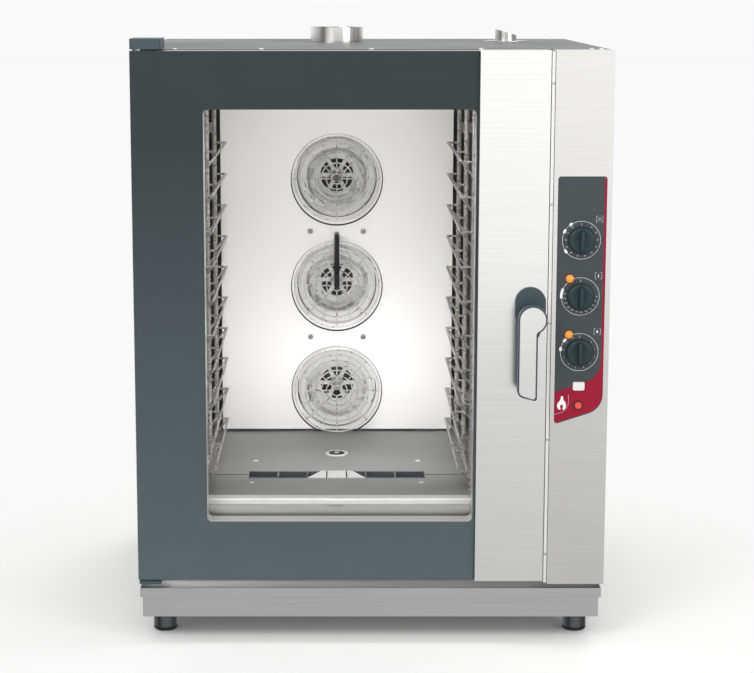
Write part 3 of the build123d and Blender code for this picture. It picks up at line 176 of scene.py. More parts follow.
# ---- Finishes ---------------------------------------------------------------
class Wiring:
    """A node tree, with short calls to add and join nodes."""

    def __init__(self, tree: bpy.types.NodeTree) -> None:
        """Keeps the tree that the calls add to.

        Args:
            tree: the node tree of a material or of the world.
        """
        self.tree = tree

    def add(self, kind: str, **values: object) -> bpy.types.Node:
        """Adds a node.

        Args:
            kind: the node type's name.
            values: input sockets by name, with underscores for spaces.

        Returns:
            The new node.
        """
        node = self.tree.nodes.new(kind)
        for name, value in values.items():
            node.inputs[name.replace("_", " ")].default_value = value
        return node

    def join(self, start: Socket, end: Socket) -> None:
        """Links an output socket to an input socket."""
        self.tree.links.new(start, end)

    def calculate(self, operation: str, *values: Socket, vector: bool = False) -> bpy.types.Node:
        """Adds a calculation.

        Args:
            operation: what it works out.
            values: the sockets that it reads.
            vector: whether it works on colours and places.

        Returns:
            The node with the result.
        """
        node = self.add("ShaderNodeVectorMath" if vector else "ShaderNodeMath")
        node.operation = operation
        for value, end in zip(values, node.inputs):
            self.join(value, end)
        return node

    def shades(self, value: Socket, low: Point, high: Point, start: float = 0.3, end: float = 0.7) -> Socket:
        """Turns a value into a colour between two shades.

        Args:
            value: the socket to read.
            low: the colour at the start.
            high: the colour at the end.
            start: the value that gives the first colour.
            end: the value that gives the second colour.

        Returns:
            The socket with the colour.
        """
        return self.ramp(value, ((start, low), (end, high)))

    def ramp(self, value: Socket, stops: tuple[tuple[float, Point], ...]) -> Socket:
        """Turns a value into a colour between several.

        Args:
            value: the socket to read.
            stops: places on the ramp, each with its colour.

        Returns:
            The socket with the colour.
        """
        ramp = self.add("ShaderNodeValToRGB")
        elements = ramp.color_ramp.elements
        while len(elements) < len(stops):
            elements.new(0.5)
        for element, (position, colour) in zip(elements, stops):
            element.position = position
            element.color = (*colour, 1.0)
        self.join(value, ramp.inputs["Fac"])
        return ramp.outputs["Color"]

    def spread(
        self, value: Socket, low: float, high: float, start: float = 0.3, end: float = 0.7
    ) -> Socket:
        """Maps a value to a range of numbers.

        Args:
            value: the socket to read.
            low: the number at the start.
            high: the number at the end.
            start: the value that gives the first number.
            end: the value that gives the second number.

        Returns:
            The socket with the number.
        """
        mapped = self.add("ShaderNodeMapRange", From_Min=start, From_Max=end, To_Min=low, To_Max=high)
        self.join(value, mapped.inputs["Value"])
        return mapped.outputs["Result"]

    def looked_at(self) -> Socket:
        """Tells the rays that look: the eye's, and those seen in steel and glass.

        Returns:
            The socket, 1 for such a ray and 0 for the rest.
        """
        rays = self.add("ShaderNodeLightPath")
        seen = rays.outputs["Is Camera Ray"]
        for kind in ("Is Glossy Ray", "Is Transmission Ray"):
            seen = self.calculate("MAXIMUM", seen, rays.outputs[kind]).outputs["Value"]
        return seen

    def choose(self, share: Socket, first: Socket, second: Socket) -> Socket:
        """Mixes two shaders.

        Args:
            share: how much of the second shows, from 0 to 1.
            first: the first shader's output.
            second: the second shader's output.

        Returns:
            The socket with the mixed shader.
        """
        mix = self.add("ShaderNodeMixShader")
        for value, end in zip((share, first, second), mix.inputs):
            self.join(value, end)
        return mix.outputs["Shader"]


class Board(Wiring):
    """The node tree of one material."""

    def __init__(self, name: str) -> None:
        """Starts a material.

        Args:
            name: the material's name.
        """
        self.material = bpy.data.materials.new(name)
        self.material.use_nodes = True
        super().__init__(self.material.node_tree)
        self.shader = self.tree.nodes["Principled BSDF"]

    def noise(self, stretch: Point, scale: float, detail: float) -> Socket:
        """Adds noise in the object's own space.

        Args:
            stretch: scale along each axis.
            scale: overall scale of the noise.
            detail: number of finer layers.

        Returns:
            The socket with the noise value.
        """
        place = self.add("ShaderNodeTexCoord")
        mapping = self.add("ShaderNodeMapping", Scale=stretch)
        noise = self.add("ShaderNodeTexNoise", Scale=scale, Detail=detail, Roughness=0.6)
        self.join(place.outputs["Object"], mapping.inputs["Vector"])
        self.join(mapping.outputs["Vector"], noise.inputs["Vector"])
        return noise.outputs["Fac"]

    def height(self) -> Socket:
        """Reads the height over the floor.

        Returns:
            The socket with the height.
        """
        place = self.add("ShaderNodeTexCoord")
        split = self.add("ShaderNodeSeparateXYZ")
        self.join(place.outputs["Object"], split.inputs["Vector"])
        return split.outputs["Z"]

    def bump(self, value: Socket, strength: float, depth: float) -> None:
        """Adds relief to the surface.

        Args:
            value: the socket with the relief.
            strength: how much of it shows.
            depth: its depth in metres.
        """
        bump = self.add("ShaderNodeBump", Strength=strength, Distance=depth)
        self.join(value, bump.inputs["Height"])
        self.join(bump.outputs["Normal"], self.shader.inputs["Normal"])

    def tint(self, value: Socket) -> None:
        """Links a colour to the shader's base colour."""
        self.join(value, self.shader.inputs["Base Color"])

    def gloss(self, value: Socket, rough: float, low: float, high: float) -> None:
        """Lets a value change the surface's roughness.

        Args:
            value: the socket to read.
            rough: the roughness.
            low: its factor where the value is low.
            high: its factor where the value is high.
        """
        self.join(self.spread(value, rough * low, min(1.0, rough * high)), self.shader.inputs["Roughness"])


def scaled(colour: Point, factor: float) -> Point:
    """Makes a colour lighter or darker.

    Args:
        colour: the colour.
        factor: what each channel is multiplied by.

    Returns:
        The new colour, capped at 1.
    """
    return tuple(min(1.0, channel * factor) for channel in colour)


@dataclass(frozen=True)
class Finish:
    """A finish with its colour, gloss and how much the colour wanders."""

    name: str
    colour: Point
    rough: float
    metal: float = 0.0
    wander: float = 0.05
    shine: float = 0.5

    def material(self) -> bpy.types.Material:
        """Builds the material once, and finds it again after that.

        Returns:
            The material.
        """
        name = f"finish_{self.name}"
        known = bpy.data.materials.get(name)
        if known:
            return known
        board = Board(name)
        board.shader.inputs["Metallic"].default_value = self.metal
        board.shader.inputs["Specular IOR Level"].default_value = self.shine
        self.build(board)
        return board.material

    def build(self, board: Board) -> None:
        """Adds colour, gloss and relief; kinds of finish add their own.

        Args:
            board: the material's node tree.
        """
        cloud = board.noise(EVEN, 28.0, 4.0)
        self.paint(board, cloud, 1 - self.wander, 1 + self.wander)
        board.gloss(cloud, self.rough, 0.9, 1.12)

    def paint(self, board: Board, value: Socket, low: float, high: float) -> Socket:
        """Lets a value make the colour darker and lighter.

        Args:
            board: the material's node tree.
            value: the socket to read.
            low: the colour's factor where the value is low.
            high: its factor where the value is high.

        Returns:
            The socket with the colour.
        """
        colour = board.shades(value, scaled(self.colour, low), scaled(self.colour, high))
        board.tint(colour)
        return colour


@dataclass(frozen=True)
class BrushedSheet(Finish):
    """Stainless sheet with fine brushed streaks and faint handling marks."""

    grain: Grain = Grain.ACROSS
    streak: float = 0.05

    def build(self, board: Board) -> None:
        """Adds streaks, uneven gloss and shallow relief.

        Args:
            board: the material's node tree.
        """
        streaks = board.noise(self.grain.value, 1.0, 5.0)
        cloud = board.noise(EVEN, 3.5, 3.0)
        self.paint(board, streaks, 1 - self.streak - self.wander, 1 + self.streak)
        board.gloss(cloud, self.rough, 0.88, 1.15)
        board.bump(streaks, 0.12, 0.00004)


@dataclass(frozen=True)
class DrawnWire(Finish):
    """Bright drawn wire with small changes of gloss along it."""

    def build(self, board: Board) -> None:
        """Adds drawing marks and gloss.

        Args:
            board: the material's node tree.
        """
        marks = board.noise((60.0, 60.0, 60.0), 2.0, 3.0)
        self.paint(board, marks, 0.9, 1.08)
        board.gloss(marks, self.rough, 0.8, 1.3)
        board.bump(marks, 0.08, 0.00003)


@dataclass(frozen=True)
class Pane(Finish):
    """Thin clear glass with faint smears."""

    cover: float = 0.1

    def build(self, board: Board) -> None:
        """Adds see-through glass and smears that change its gloss.

        Args:
            board: the material's node tree.
        """
        smear = board.noise((1.0, 1.0, 2.4), 5.0, 4.0)
        self.paint(board, smear, 0.96, 1.0)
        board.gloss(smear, self.rough, 1.0, 1.8)
        board.shader.inputs["Alpha"].default_value = self.cover
        board.shader.inputs["IOR"].default_value = 1.5


@dataclass(frozen=True)
class GlassPrint(Finish):
    """Ceramic print fired on the back of the glass, with painted light: lighter towards its foot and darker
    at its head.
    """

    # painted light: the lighter colour towards the print's foot
    foot: Point = (0.1, 0.12, 0.13)
    low: float = 0.1
    high: float = 1.2

    def build(self, board: Board) -> None:
        """Adds the painted light that fades from a lighter foot to a darker head, and a fine speckle.

        Args:
            board: the material's node tree.
        """
        fade = board.shades(board.height(), self.foot, self.colour, self.low, self.high)
        speckle = board.noise(EVEN, 900.0, 2.0)
        dots = board.shades(speckle, scaled(WHITE, 0.985), WHITE)
        board.tint(board.calculate("MULTIPLY", fade, dots, vector=True).outputs["Vector"])
        board.gloss(speckle, self.rough, 0.95, 1.05)


@dataclass(frozen=True)
class MouldedPlastic(Finish):
    """Moulded plastic with a fine spark-eroded grain."""

    grain_scale: float = 1400.0
    relief: float = 0.15

    def build(self, board: Board) -> None:
        """Adds the grain and small changes of colour and gloss.

        Args:
            board: the material's node tree.
        """
        grain = board.noise(EVEN, self.grain_scale, 3.0)
        cloud = board.noise(EVEN, 60.0, 3.0)
        self.paint(board, cloud, 1 - self.wander, 1 + self.wander)
        board.gloss(cloud, self.rough, 0.92, 1.08)
        board.bump(grain, self.relief, 0.00006)


@dataclass(frozen=True)
class GlowLens(Finish):
    """A coloured lamp lens with a bright core."""

    glow: float = 0.35

    def build(self, board: Board) -> None:
        """Adds the lens colour, its facets and a weak light of its own.

        Args:
            board: the material's node tree.
        """
        facets = board.noise(EVEN, 420.0, 2.0)
        colour = self.paint(board, facets, 0.75, 1.15)
        board.join(colour, board.shader.inputs["Emission Color"])
        board.shader.inputs["Emission Strength"].default_value = self.glow
        board.gloss(facets, self.rough, 1.0, 1.4)


@dataclass(frozen=True)
class Cast(Finish):
    """A painted casting or loose fibre, with visible roughness."""

    lumps: float = 220.0
    relief: float = 0.5

    def build(self, board: Board) -> None:
        """Adds lumps and pits.

        Args:
            board: the material's node tree.
        """
        lumps = board.noise(EVEN, self.lumps, 6.0)
        self.paint(board, lumps, 1 - self.wander, 1 + self.wander)
        board.gloss(lumps, self.rough, 0.9, 1.1)
        board.bump(lumps, self.relief, 0.0004)


class Finishes:
    """Every finish of the oven."""

    casing_side = BrushedSheet("side_steel", (0.74, 0.735, 0.72), 0.34, metal=1.0, grain=Grain.DEPTH)
    # painted shade: the roof is the same stainless sheet as the sides, given a deep grey colour so that it
    # reads mid grey
    roof_painted_shade = BrushedSheet("roof_steel_painted_shade", (0.19, 0.192, 0.195), 0.40, metal=1.0)
    strip = BrushedSheet("strip_steel", (0.985, 0.98, 0.965), 0.22, metal=1.0, streak=0.03, wander=0.02)
    front = BrushedSheet("front_steel", (0.82, 0.815, 0.805), 0.30, metal=0.65, streak=0.02, wander=0.02)
    plinth = BrushedSheet("plinth_steel", (0.66, 0.66, 0.66), 0.32, metal=1.0)
    column = BrushedSheet("column_steel", (0.85, 0.845, 0.825), 0.24, metal=1.0, streak=0.03, wander=0.02)
    panel = BrushedSheet("fan_panel_steel", (0.93, 0.92, 0.90), 0.50, metal=0.2, streak=0.015, wander=0.01)
    lining = BrushedSheet(
        "lining_steel", (0.50, 0.455, 0.405), 0.30, metal=0.8, grain=Grain.DEPTH, streak=0.04
    )
    rear_lining = BrushedSheet("rear_lining_steel", (0.10, 0.095, 0.09), 0.45, metal=0.6)
    floor = BrushedSheet("cavity_floor_steel", (0.31, 0.31, 0.31), 0.55, metal=0.3, streak=0.02, wander=0.02)
    channel = BrushedSheet("channel_steel", (0.06, 0.07, 0.08), 0.45, metal=0.3)
    wheel = BrushedSheet("fan_steel", (0.92, 0.92, 0.91), 0.34, metal=0.35, streak=0.02)
    fitting = BrushedSheet("fitting_steel", (0.70, 0.70, 0.69), 0.28, metal=1.0, grain=Grain.UPRIGHT)
    bright = BrushedSheet("bright_steel", (0.94, 0.94, 0.93), 0.30, metal=0.5, streak=0.02, wander=0.02)
    foot = BrushedSheet("foot_steel", (0.16, 0.165, 0.17), 0.30, metal=1.0, grain=Grain.UPRIGHT)
    zinc = Cast("zinc_coat", (0.50, 0.50, 0.50), 0.42, metal=1.0, wander=0.12, lumps=60.0, relief=0.08)
    flue = BrushedSheet("flue_steel", (0.84, 0.82, 0.80), 0.20, metal=1.0, grain=Grain.UPRIGHT, streak=0.08)
    wire = DrawnWire("bright_wire", (0.58, 0.575, 0.565), 0.28, metal=0.75)
    guard_wire = DrawnWire("guard_wire", (0.80, 0.79, 0.775), 0.30, metal=0.6)
    dark_wire = DrawnWire("dull_tube", (0.09, 0.095, 0.10), 0.32, metal=1.0)
    outer_pane = Pane("outer_pane", (0.02, 0.03, 0.03), 0.02, cover=0.04, shine=0.25)
    inner_pane = Pane("inner_pane", (0.03, 0.04, 0.04), 0.03, cover=0.02, shine=0.2)
    # painted light: the slate print's foot colour is lighter than its head, a gradient of the light on the
    # door
    slate = GlassPrint("slate_print", (0.036, 0.047, 0.051), 0.5, shine=0.15, foot=(0.100, 0.126, 0.135))
    film = MouldedPlastic("film_grey", (0.048, 0.057, 0.062), 0.5, shine=0.3, relief=0.05)
    crimson = MouldedPlastic("film_crimson", (0.28, 0.002, 0.024), 0.5, shine=0.25, relief=0.05)
    pale_ink = Finish("pale_ink", (0.62, 0.63, 0.64), 0.6)
    white_ink = Finish("white_ink", (0.86, 0.86, 0.86), 0.6, wander=0.02)
    slate_plastic = MouldedPlastic("slate_plastic", (0.048, 0.070, 0.081), 0.42, shine=0.35)
    knob_plastic = MouldedPlastic("knob_plastic", (0.018, 0.036, 0.043), 0.38, shine=0.35)
    black_plastic = MouldedPlastic("black_plastic", (0.018, 0.018, 0.02), 0.4)
    white_plastic = MouldedPlastic("white_plastic", (0.70, 0.70, 0.69), 0.25, wander=0.02, relief=0.03)
    red_plastic = MouldedPlastic("red_plastic", (0.75, 0.06, 0.05), 0.25, relief=0.03)
    lens = GlowLens("orange_lens", (0.86, 0.27, 0.045), 0.15)
    seal = MouldedPlastic("seal_rubber", (0.022, 0.022, 0.024), 0.7, grain_scale=600.0, relief=0.3)
    pale_seal = MouldedPlastic("seal_silicone", (0.97, 0.97, 0.96), 0.6, grain_scale=600.0, relief=0.3)
    sole = MouldedPlastic("sole_rubber", (0.014, 0.014, 0.015), 0.75, grain_scale=500.0, relief=0.3)
    brass = DrawnWire("plated_brass", (0.60, 0.47, 0.24), 0.28, metal=1.0)
    iron = Cast("painted_iron", (0.10, 0.10, 0.105), 0.55, lumps=180.0)
    wool = Cast("mineral_wool", (0.42, 0.36, 0.20), 0.95, wander=0.25, lumps=90.0, relief=0.9)


# ---- Mesh making ------------------------------------------------------------
@dataclass(frozen=True)
class Piece:
    """What a new piece is called, where it belongs and what it replaces."""

    name: str
    body: str
    slot: str
    finish: Finish
    stands_for: tuple[str, ...] = ()

    def place(self, mesh: Mesh, smooth: float = 35.0) -> bpy.types.Object:
        """Puts a finished mesh in the scene and on its body.

        Args:
            mesh: the mesh, in the oven's own frame.
            smooth: the angle in degrees under which faces shade as one.

        Returns:
            The new object.
        """
        mesh.name = self.name
        obj = bpy.data.objects.new(self.name, mesh)
        bpy.context.scene.collection.objects.link(obj)
        mesh.materials.clear()
        mesh.materials.append(self.finish.material())
        for face in mesh.polygons:
            face.material_index = 0
            face.use_smooth = True
        mesh.set_sharp_from_angle(angle=math.radians(smooth))
        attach(obj, self.body)
        if self.stands_for:
            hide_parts(*self.stands_for)
        log.info("piece %s on %s, %d faces", self.name, self.body, len(mesh.polygons))
        return obj


def dress(node: str, finish: Finish, bevel: float = 0.0) -> None:
    """Gives a node of the model its finish, and softens its folded edges.

    Args:
        node: the node's name.
        finish: its finish.
        bevel: width of the softened edges, or 0 for none.
    """
    obj = frame["nodes"][node]
    for slot in obj.material_slots:
        slot.material = finish.material()
    if bevel:
        edge = obj.modifiers.new("soft_edges", "BEVEL")
        edge.width = bevel
        edge.segments = 3
        edge.limit_method = "ANGLE"
        edge.angle_limit = math.radians(50)
        edge.use_clamp_overlap = True
    log.info("node %s dressed in %s", node, finish.name)


def to_mesh(obj: bpy.types.Object) -> Mesh:
    """Turns a curve or text object into a mesh and removes the object.

    Args:
        obj: the curve or text object.

    Returns:
        Its mesh, in world space.
    """
    bpy.context.scene.collection.objects.link(obj)
    graph = bpy.context.evaluated_depsgraph_get()
    mesh = bpy.data.meshes.new_from_object(obj.evaluated_get(graph))
    mesh.transform(obj.matrix_basis)
    bpy.data.objects.remove(obj)
    return mesh


def rounded_path(points: list[Point], bend: float, steps: int = 5) -> list[Vector]:
    """Rounds the corners of a route.

    Args:
        points: the route's corners.
        bend: how far from each corner its bend starts.
        steps: straight pieces in each bend.

    Returns:
        The points of the rounded route.
    """
    corners = [Vector(point) for point in points]
    path = [corners[0]]
    for before, corner, after in zip(corners, corners[1:], corners[2:]):
        start = corner + (before - corner).normalized() * bend
        end = corner + (after - corner).normalized() * bend
        for step in range(steps + 1):
            t = step / steps
            path.append(start * (1 - t) ** 2 + corner * 2 * t * (1 - t) + end * t**2)
    path.append(corners[-1])
    return path


def wires(
    paths: list[list[Vector]], radius: float, closed: bool = False, fineness: int = 3
) -> Mesh:
    """Makes round wire along routes.

    Args:
        paths: the points of each route.
        radius: the wire's radius.
        closed: whether each route returns to its start.
        fineness: how round the section is.

    Returns:
        One mesh with all the wires.
    """
    curve = bpy.data.curves.new("route", "CURVE")
    curve.dimensions = "3D"
    curve.bevel_depth = radius
    curve.bevel_resolution = fineness
    curve.use_fill_caps = not closed
    for path in paths:
        spline = curve.splines.new("POLY")
        spline.points.add(len(path) - 1)
        for target, point in zip(spline.points, path):
            target.co = (*point, 1.0)
        spline.use_cyclic_u = closed
    return to_mesh(bpy.data.objects.new("route", curve))


def joined(meshes: list[Mesh]) -> Mesh:
    """Joins meshes into one and removes the sources.

    Args:
        meshes: the meshes to join.

    Returns:
        The joined mesh.
    """
    work = bmesh.new()
    for mesh in meshes:
        work.from_mesh(mesh)
        bpy.data.meshes.remove(mesh)
    return finished(work)


def finished(work: bmesh.types.BMesh) -> Mesh:
    """Writes a bmesh to a new mesh.

    Args:
        work: the bmesh, which is freed.

    Returns:
        The mesh.
    """
    mesh = bpy.data.meshes.new("form")
    work.to_mesh(mesh)
    work.free()
    return mesh


def moved(mesh: Mesh, matrix: Matrix) -> Mesh:
    """Moves a mesh and returns it."""
    mesh.transform(matrix)
    return mesh


def spaced(start: float, end: float, count: int) -> list[float]:
    """Lists values at even steps.

    Args:
        start: the first value.
        end: the last value.
        count: how many values.

    Returns:
        The values.
    """
    return [start + (end - start) * i / (count - 1) for i in range(count)]


def circle(
    centre: Flat, radius: float, count: int = 64, start: float = 0.0, end: float = 360.0
) -> list[Flat]:
    """Lists points of a circle or an arc in the front plane.

    Args:
        centre: its centre, as x and z.
        radius: its radius.
        count: number of steps.
        start: first angle in degrees, from +X towards +Z.
        end: last angle in degrees.

    Returns:
        The points; a full circle doesn't repeat its first point.
    """
    full = abs(end - start) >= 360.0
    steps = count if full else count + 1
    angles = [math.radians(start + (end - start) * i / count) for i in range(steps)]
    return [(centre[0] + radius * math.cos(a), centre[1] + radius * math.sin(a)) for a in angles]


def oblong(left: float, right: float, foot: float, top: float) -> list[Flat]:
    """Returns the four corners of an upright rectangle, as x and z."""
    return [(left, foot), (right, foot), (right, top), (left, top)]


def flat_shape(
    loops: list[list[Flat]], y: float, thickness: float, smooth: bool = False
) -> Mesh:
    """Fills outlines in the front plane; an outline inside another is a hole.

    Args:
        loops: closed outlines, as x and z.
        y: depth of the front face.
        thickness: how far the shape reaches back.
        smooth: whether the points are joined by curves.

    Returns:
        The filled shape.
    """
    curve = bpy.data.curves.new("shape", "CURVE")
    curve.dimensions = "2D"
    curve.fill_mode = "BOTH"
    curve.extrude = thickness / 2
    for loop in loops:
        if smooth:
            spline = curve.splines.new("BEZIER")
            spline.bezier_points.add(len(loop) - 1)
            for target, point in zip(spline.bezier_points, loop):
                target.co = (*point, 0.0)
                target.handle_left_type = target.handle_right_type = "AUTO"
        else:
            spline = curve.splines.new("POLY")
            spline.points.add(len(loop) - 1)
            for target, point in zip(spline.points, loop):
                target.co = (*point, 0.0, 1.0)
        spline.use_cyclic_u = True
    mesh = to_mesh(bpy.data.objects.new("shape", curve))
    return moved(mesh, Facing.FRONT.at((0.0, y + thickness / 2, 0.0)))


def label(text: str, height: float, centre: Flat, y: float, thickness: float) -> Mesh:
    """Makes a plain number on the front plane.

    Args:
        text: the figures.
        height: height of the type.
        centre: where its middle is, as x and z.
        y: depth of its front face.
        thickness: its thickness.

    Returns:
        The figures as a mesh.
    """
    font = bpy.data.curves.new("figure", "FONT")
    font.body = text
    font.size = height
    font.align_x = "CENTER"
    font.align_y = "CENTER"
    font.extrude = thickness / 2
    font.resolution_u = 2
    mesh = to_mesh(bpy.data.objects.new("figure", font))
    return moved(mesh, Facing.FRONT.at((centre[0], y + thickness / 2, centre[1])))


def lathe(rings: list[Flat], segments: int = 48, hexagon: int = 0) -> Mesh:
    """Turns a profile round +Z.

    Args:
        rings: radius and height of each ring, from the base to the top.
        segments: steps round the axis.
        hexagon: how many of the last rings are six-sided, as in a socket.

    Returns:
        The closed turned form.
    """
    work = bmesh.new()
    loops = []
    for number, (radius, height) in enumerate(rings):
        loop = []
        for step in range(segments):
            angle = 2 * math.pi * step / segments
            reach = radius
            if number >= len(rings) - hexagon:
                sector = (angle + math.pi / 6) % (math.pi / 3) - math.pi / 6
                reach = radius * math.cos(math.pi / 6) / math.cos(sector)
            loop.append(work.verts.new((reach * math.cos(angle), reach * math.sin(angle), height)))
        loops.append(loop)
    return skinned(work, loops)


def skinned(work: bmesh.types.BMesh, loops: list[list[bmesh.types.BMVert]]) -> Mesh:
    """Closes a stack of loops into one form.

    Args:
        work: the bmesh that holds the loops, which is freed.
        loops: the loops from the base to the top, with as many corners each.

    Returns:
        The form, with both ends filled.
    """
    for low, high in zip(loops, loops[1:]):
        for step in range(len(low)):
            after = (step + 1) % len(low)
            work.faces.new((low[step], low[after], high[after], high[step]))
    work.faces.new(list(reversed(loops[0])))
    work.faces.new(loops[-1])
    return finished(work)


def plates(outlines: list[list[Flat]], base: float, thickness: float) -> Mesh:
    """Makes plates that lie level.

    Args:
        outlines: the corners of each plate, as x and y.
        base: height of their undersides.
        thickness: their thickness.

    Returns:
        One mesh with all the plates.
    """
    work = bmesh.new()
    for corners in outlines:
        low = [work.verts.new((x, y, base)) for x, y in corners]
        high = [work.verts.new((x, y, base + thickness)) for x, y in corners]
        work.faces.new(high)
        work.faces.new(list(reversed(low)))
        for step in range(len(corners)):
            after = (step + 1) % len(corners)
            work.faces.new((low[step], low[after], high[after], high[step]))
    return finished(work)


@dataclass(frozen=True)
class Screws:
    """Domed screws with a hexagon socket, all in one mesh."""

    radius: float = 0.0045
    rise: float = 0.0022
    washer: float = 1.25

    def group(self, piece: Piece, places: list[Point], facing: Facing) -> None:
        """Places one screw at each point.

        Args:
            piece: what the group is and where it belongs.
            places: the point under each head.
            facing: the way the heads point.
        """
        r, h = self.radius, self.rise
        rings = [
            (r * self.washer, 0.0),
            (r * self.washer, h * 0.2),
            (r * 1.02, h * 0.28),
            (r, h * 0.45),
            (r * 0.9, h * 0.78),
            (r * 0.7, h * 0.95),
            (r * 0.52, h),
            (r * 0.46, h),
            (r * 0.44, h * 0.35),
        ]
        heads = []
        for place in places:
            head = lathe(rings, 24, hexagon=2)
            heads.append(moved(head, facing.at(place)))
        piece.place(joined(heads))


# ---- Sub-assemblies ---------------------------------------------------------
@dataclass
class Casing:
    """Base, side sheets, roof, rear cover and front frame, with their screws."""

    fold: float = 0.0009
    plinth_fold: float = 0.0012
    screw_inset: float = 0.012
    end_inset: float = 0.03
    roof_front_inset: float = 0.014
    front_screws: tuple[float, ...] = (-0.383, -0.214, 0.0, 0.214, 0.429, 0.448)
    flush_rise: float = 0.0006
    trim_step: float = 0.004
    trim_gap: float = 0.0013
    trim_sheet: float = 0.001
    trim_end: float = 0.002
    trim_line: float = 0.0004
    trim_screw_inset: float = 0.06

    def dress(self) -> None:
        """Gives every casing node its finish."""
        dress("base_plinth", Finishes.plinth, self.plinth_fold)
        dress("drip_gutter", Finishes.plinth, self.plinth_fold)
        dress("left_side_panel", Finishes.casing_side, self.fold)
        dress("right_side_panel", Finishes.casing_side, self.fold)
        dress("top_cover", Finishes.roof_painted_shade, self.fold)
        dress("rear_cover", Finishes.casing_side, 0.0)
        dress("front_frame", Finishes.front, self.fold)
        dress("adjustable_feet", Finishes.foot, self.plinth_fold)
        dress("foot_pads", Finishes.sole, self.plinth_fold)
        dress("hinge_brackets", Finishes.slate_plastic, 0.003)
        dress("insulation", Finishes.wool)
        dress("latch_keeper", Finishes.zinc)

    def build(self) -> None:
        """Adds the screws that hold the sheets together, and the trim beside the column."""
        screws = Screws()
        roof = where("top_cover")
        front, rear = roof.low.y + self.roof_front_inset, roof.high.y - self.screw_inset
        across = spaced(roof.low.x + self.end_inset, roof.high.x - self.end_inset, 5)
        places = [(x, rear, roof.high.z) for x in across]
        places += [(x, front, roof.high.z) for x in self.front_screws]
        screws.group(Piece("roof_screws", "cabinet", "cavity_steel", Finishes.bright), places, Facing.UP)
        self.build_rear(screws)
        self.build_sides(screws)
        self.build_groove()

    def build_rear(self, screws: Screws) -> None:
        """Adds the screws round the rear cover.

        Args:
            screws: the kind of screw.
        """
        cover = where("rear_cover")
        x0, x1 = cover.low.x + self.screw_inset, cover.high.x - self.screw_inset
        z0, z1 = cover.low.z + self.screw_inset, cover.high.z - self.screw_inset
        places = [(x, cover.high.y, z) for x in (x0, x1) for z in spaced(z0, z1, 6)]
        places += [(x, cover.high.y, z) for x in spaced(x0, x1, 6)[1:-1] for z in (z0, z1)]
        screws.group(Piece("rear_screws", "cabinet", "cavity_steel", Finishes.fitting), places, Facing.REAR)

    def build_sides(self, screws: Screws) -> None:
        """Adds the screws along the foot of each side sheet.

        Args:
            screws: the kind of screw.
        """
        flush = Screws(radius=screws.radius, rise=self.flush_rise)
        for facing in (Facing.LEFT, Facing.RIGHT):
            panel = where(f"{facing.value}_side_panel")
            x = panel.low.x + self.flush_rise if facing is Facing.LEFT else panel.high.x - self.flush_rise
            along = spaced(panel.low.y + self.end_inset, panel.high.y - self.end_inset, 5)
            places = [(x, y, panel.low.z + self.screw_inset) for y in along]
            piece = Piece(f"{facing.value}_side_screws", "cabinet", "cavity_steel", Finishes.fitting)
            flush.group(piece, places, facing)

    def build_groove(self) -> None:
        """Adds the pale trim between the door and the column, with its small screws."""
        column = where("column_front")
        door = where("door_steel_strip")
        left, right = door.high.x + self.trim_gap, column.low.x
        y = column.low.y + self.trim_step
        low, high = column.low.z + self.trim_end, column.high.z - self.trim_end
        trim = Piece("groove_trim", "cabinet", "cavity_steel", Finishes.bright)
        trim.place(flat_shape([oblong(left, right, low, high)], y, self.trim_sheet))
        edges = (left + self.trim_line, right - self.trim_line)
        lines = [[Vector((x, y, low)), Vector((x, y, high))] for x in edges]
        edge = Piece("groove_lines", "cabinet", "seal_rubber", Finishes.dark_wire)
        edge.place(wires(lines, self.trim_line, fineness=1))
        up = spaced(low + self.trim_screw_inset, high - self.trim_screw_inset, 5)
        places = [((left + right) / 2, y, z) for z in up]
        small = Screws(radius=0.0022, rise=0.0014)
        small.group(Piece("groove_screws", "cabinet", "cavity_steel", Finishes.fitting), places, Facing.FRONT)


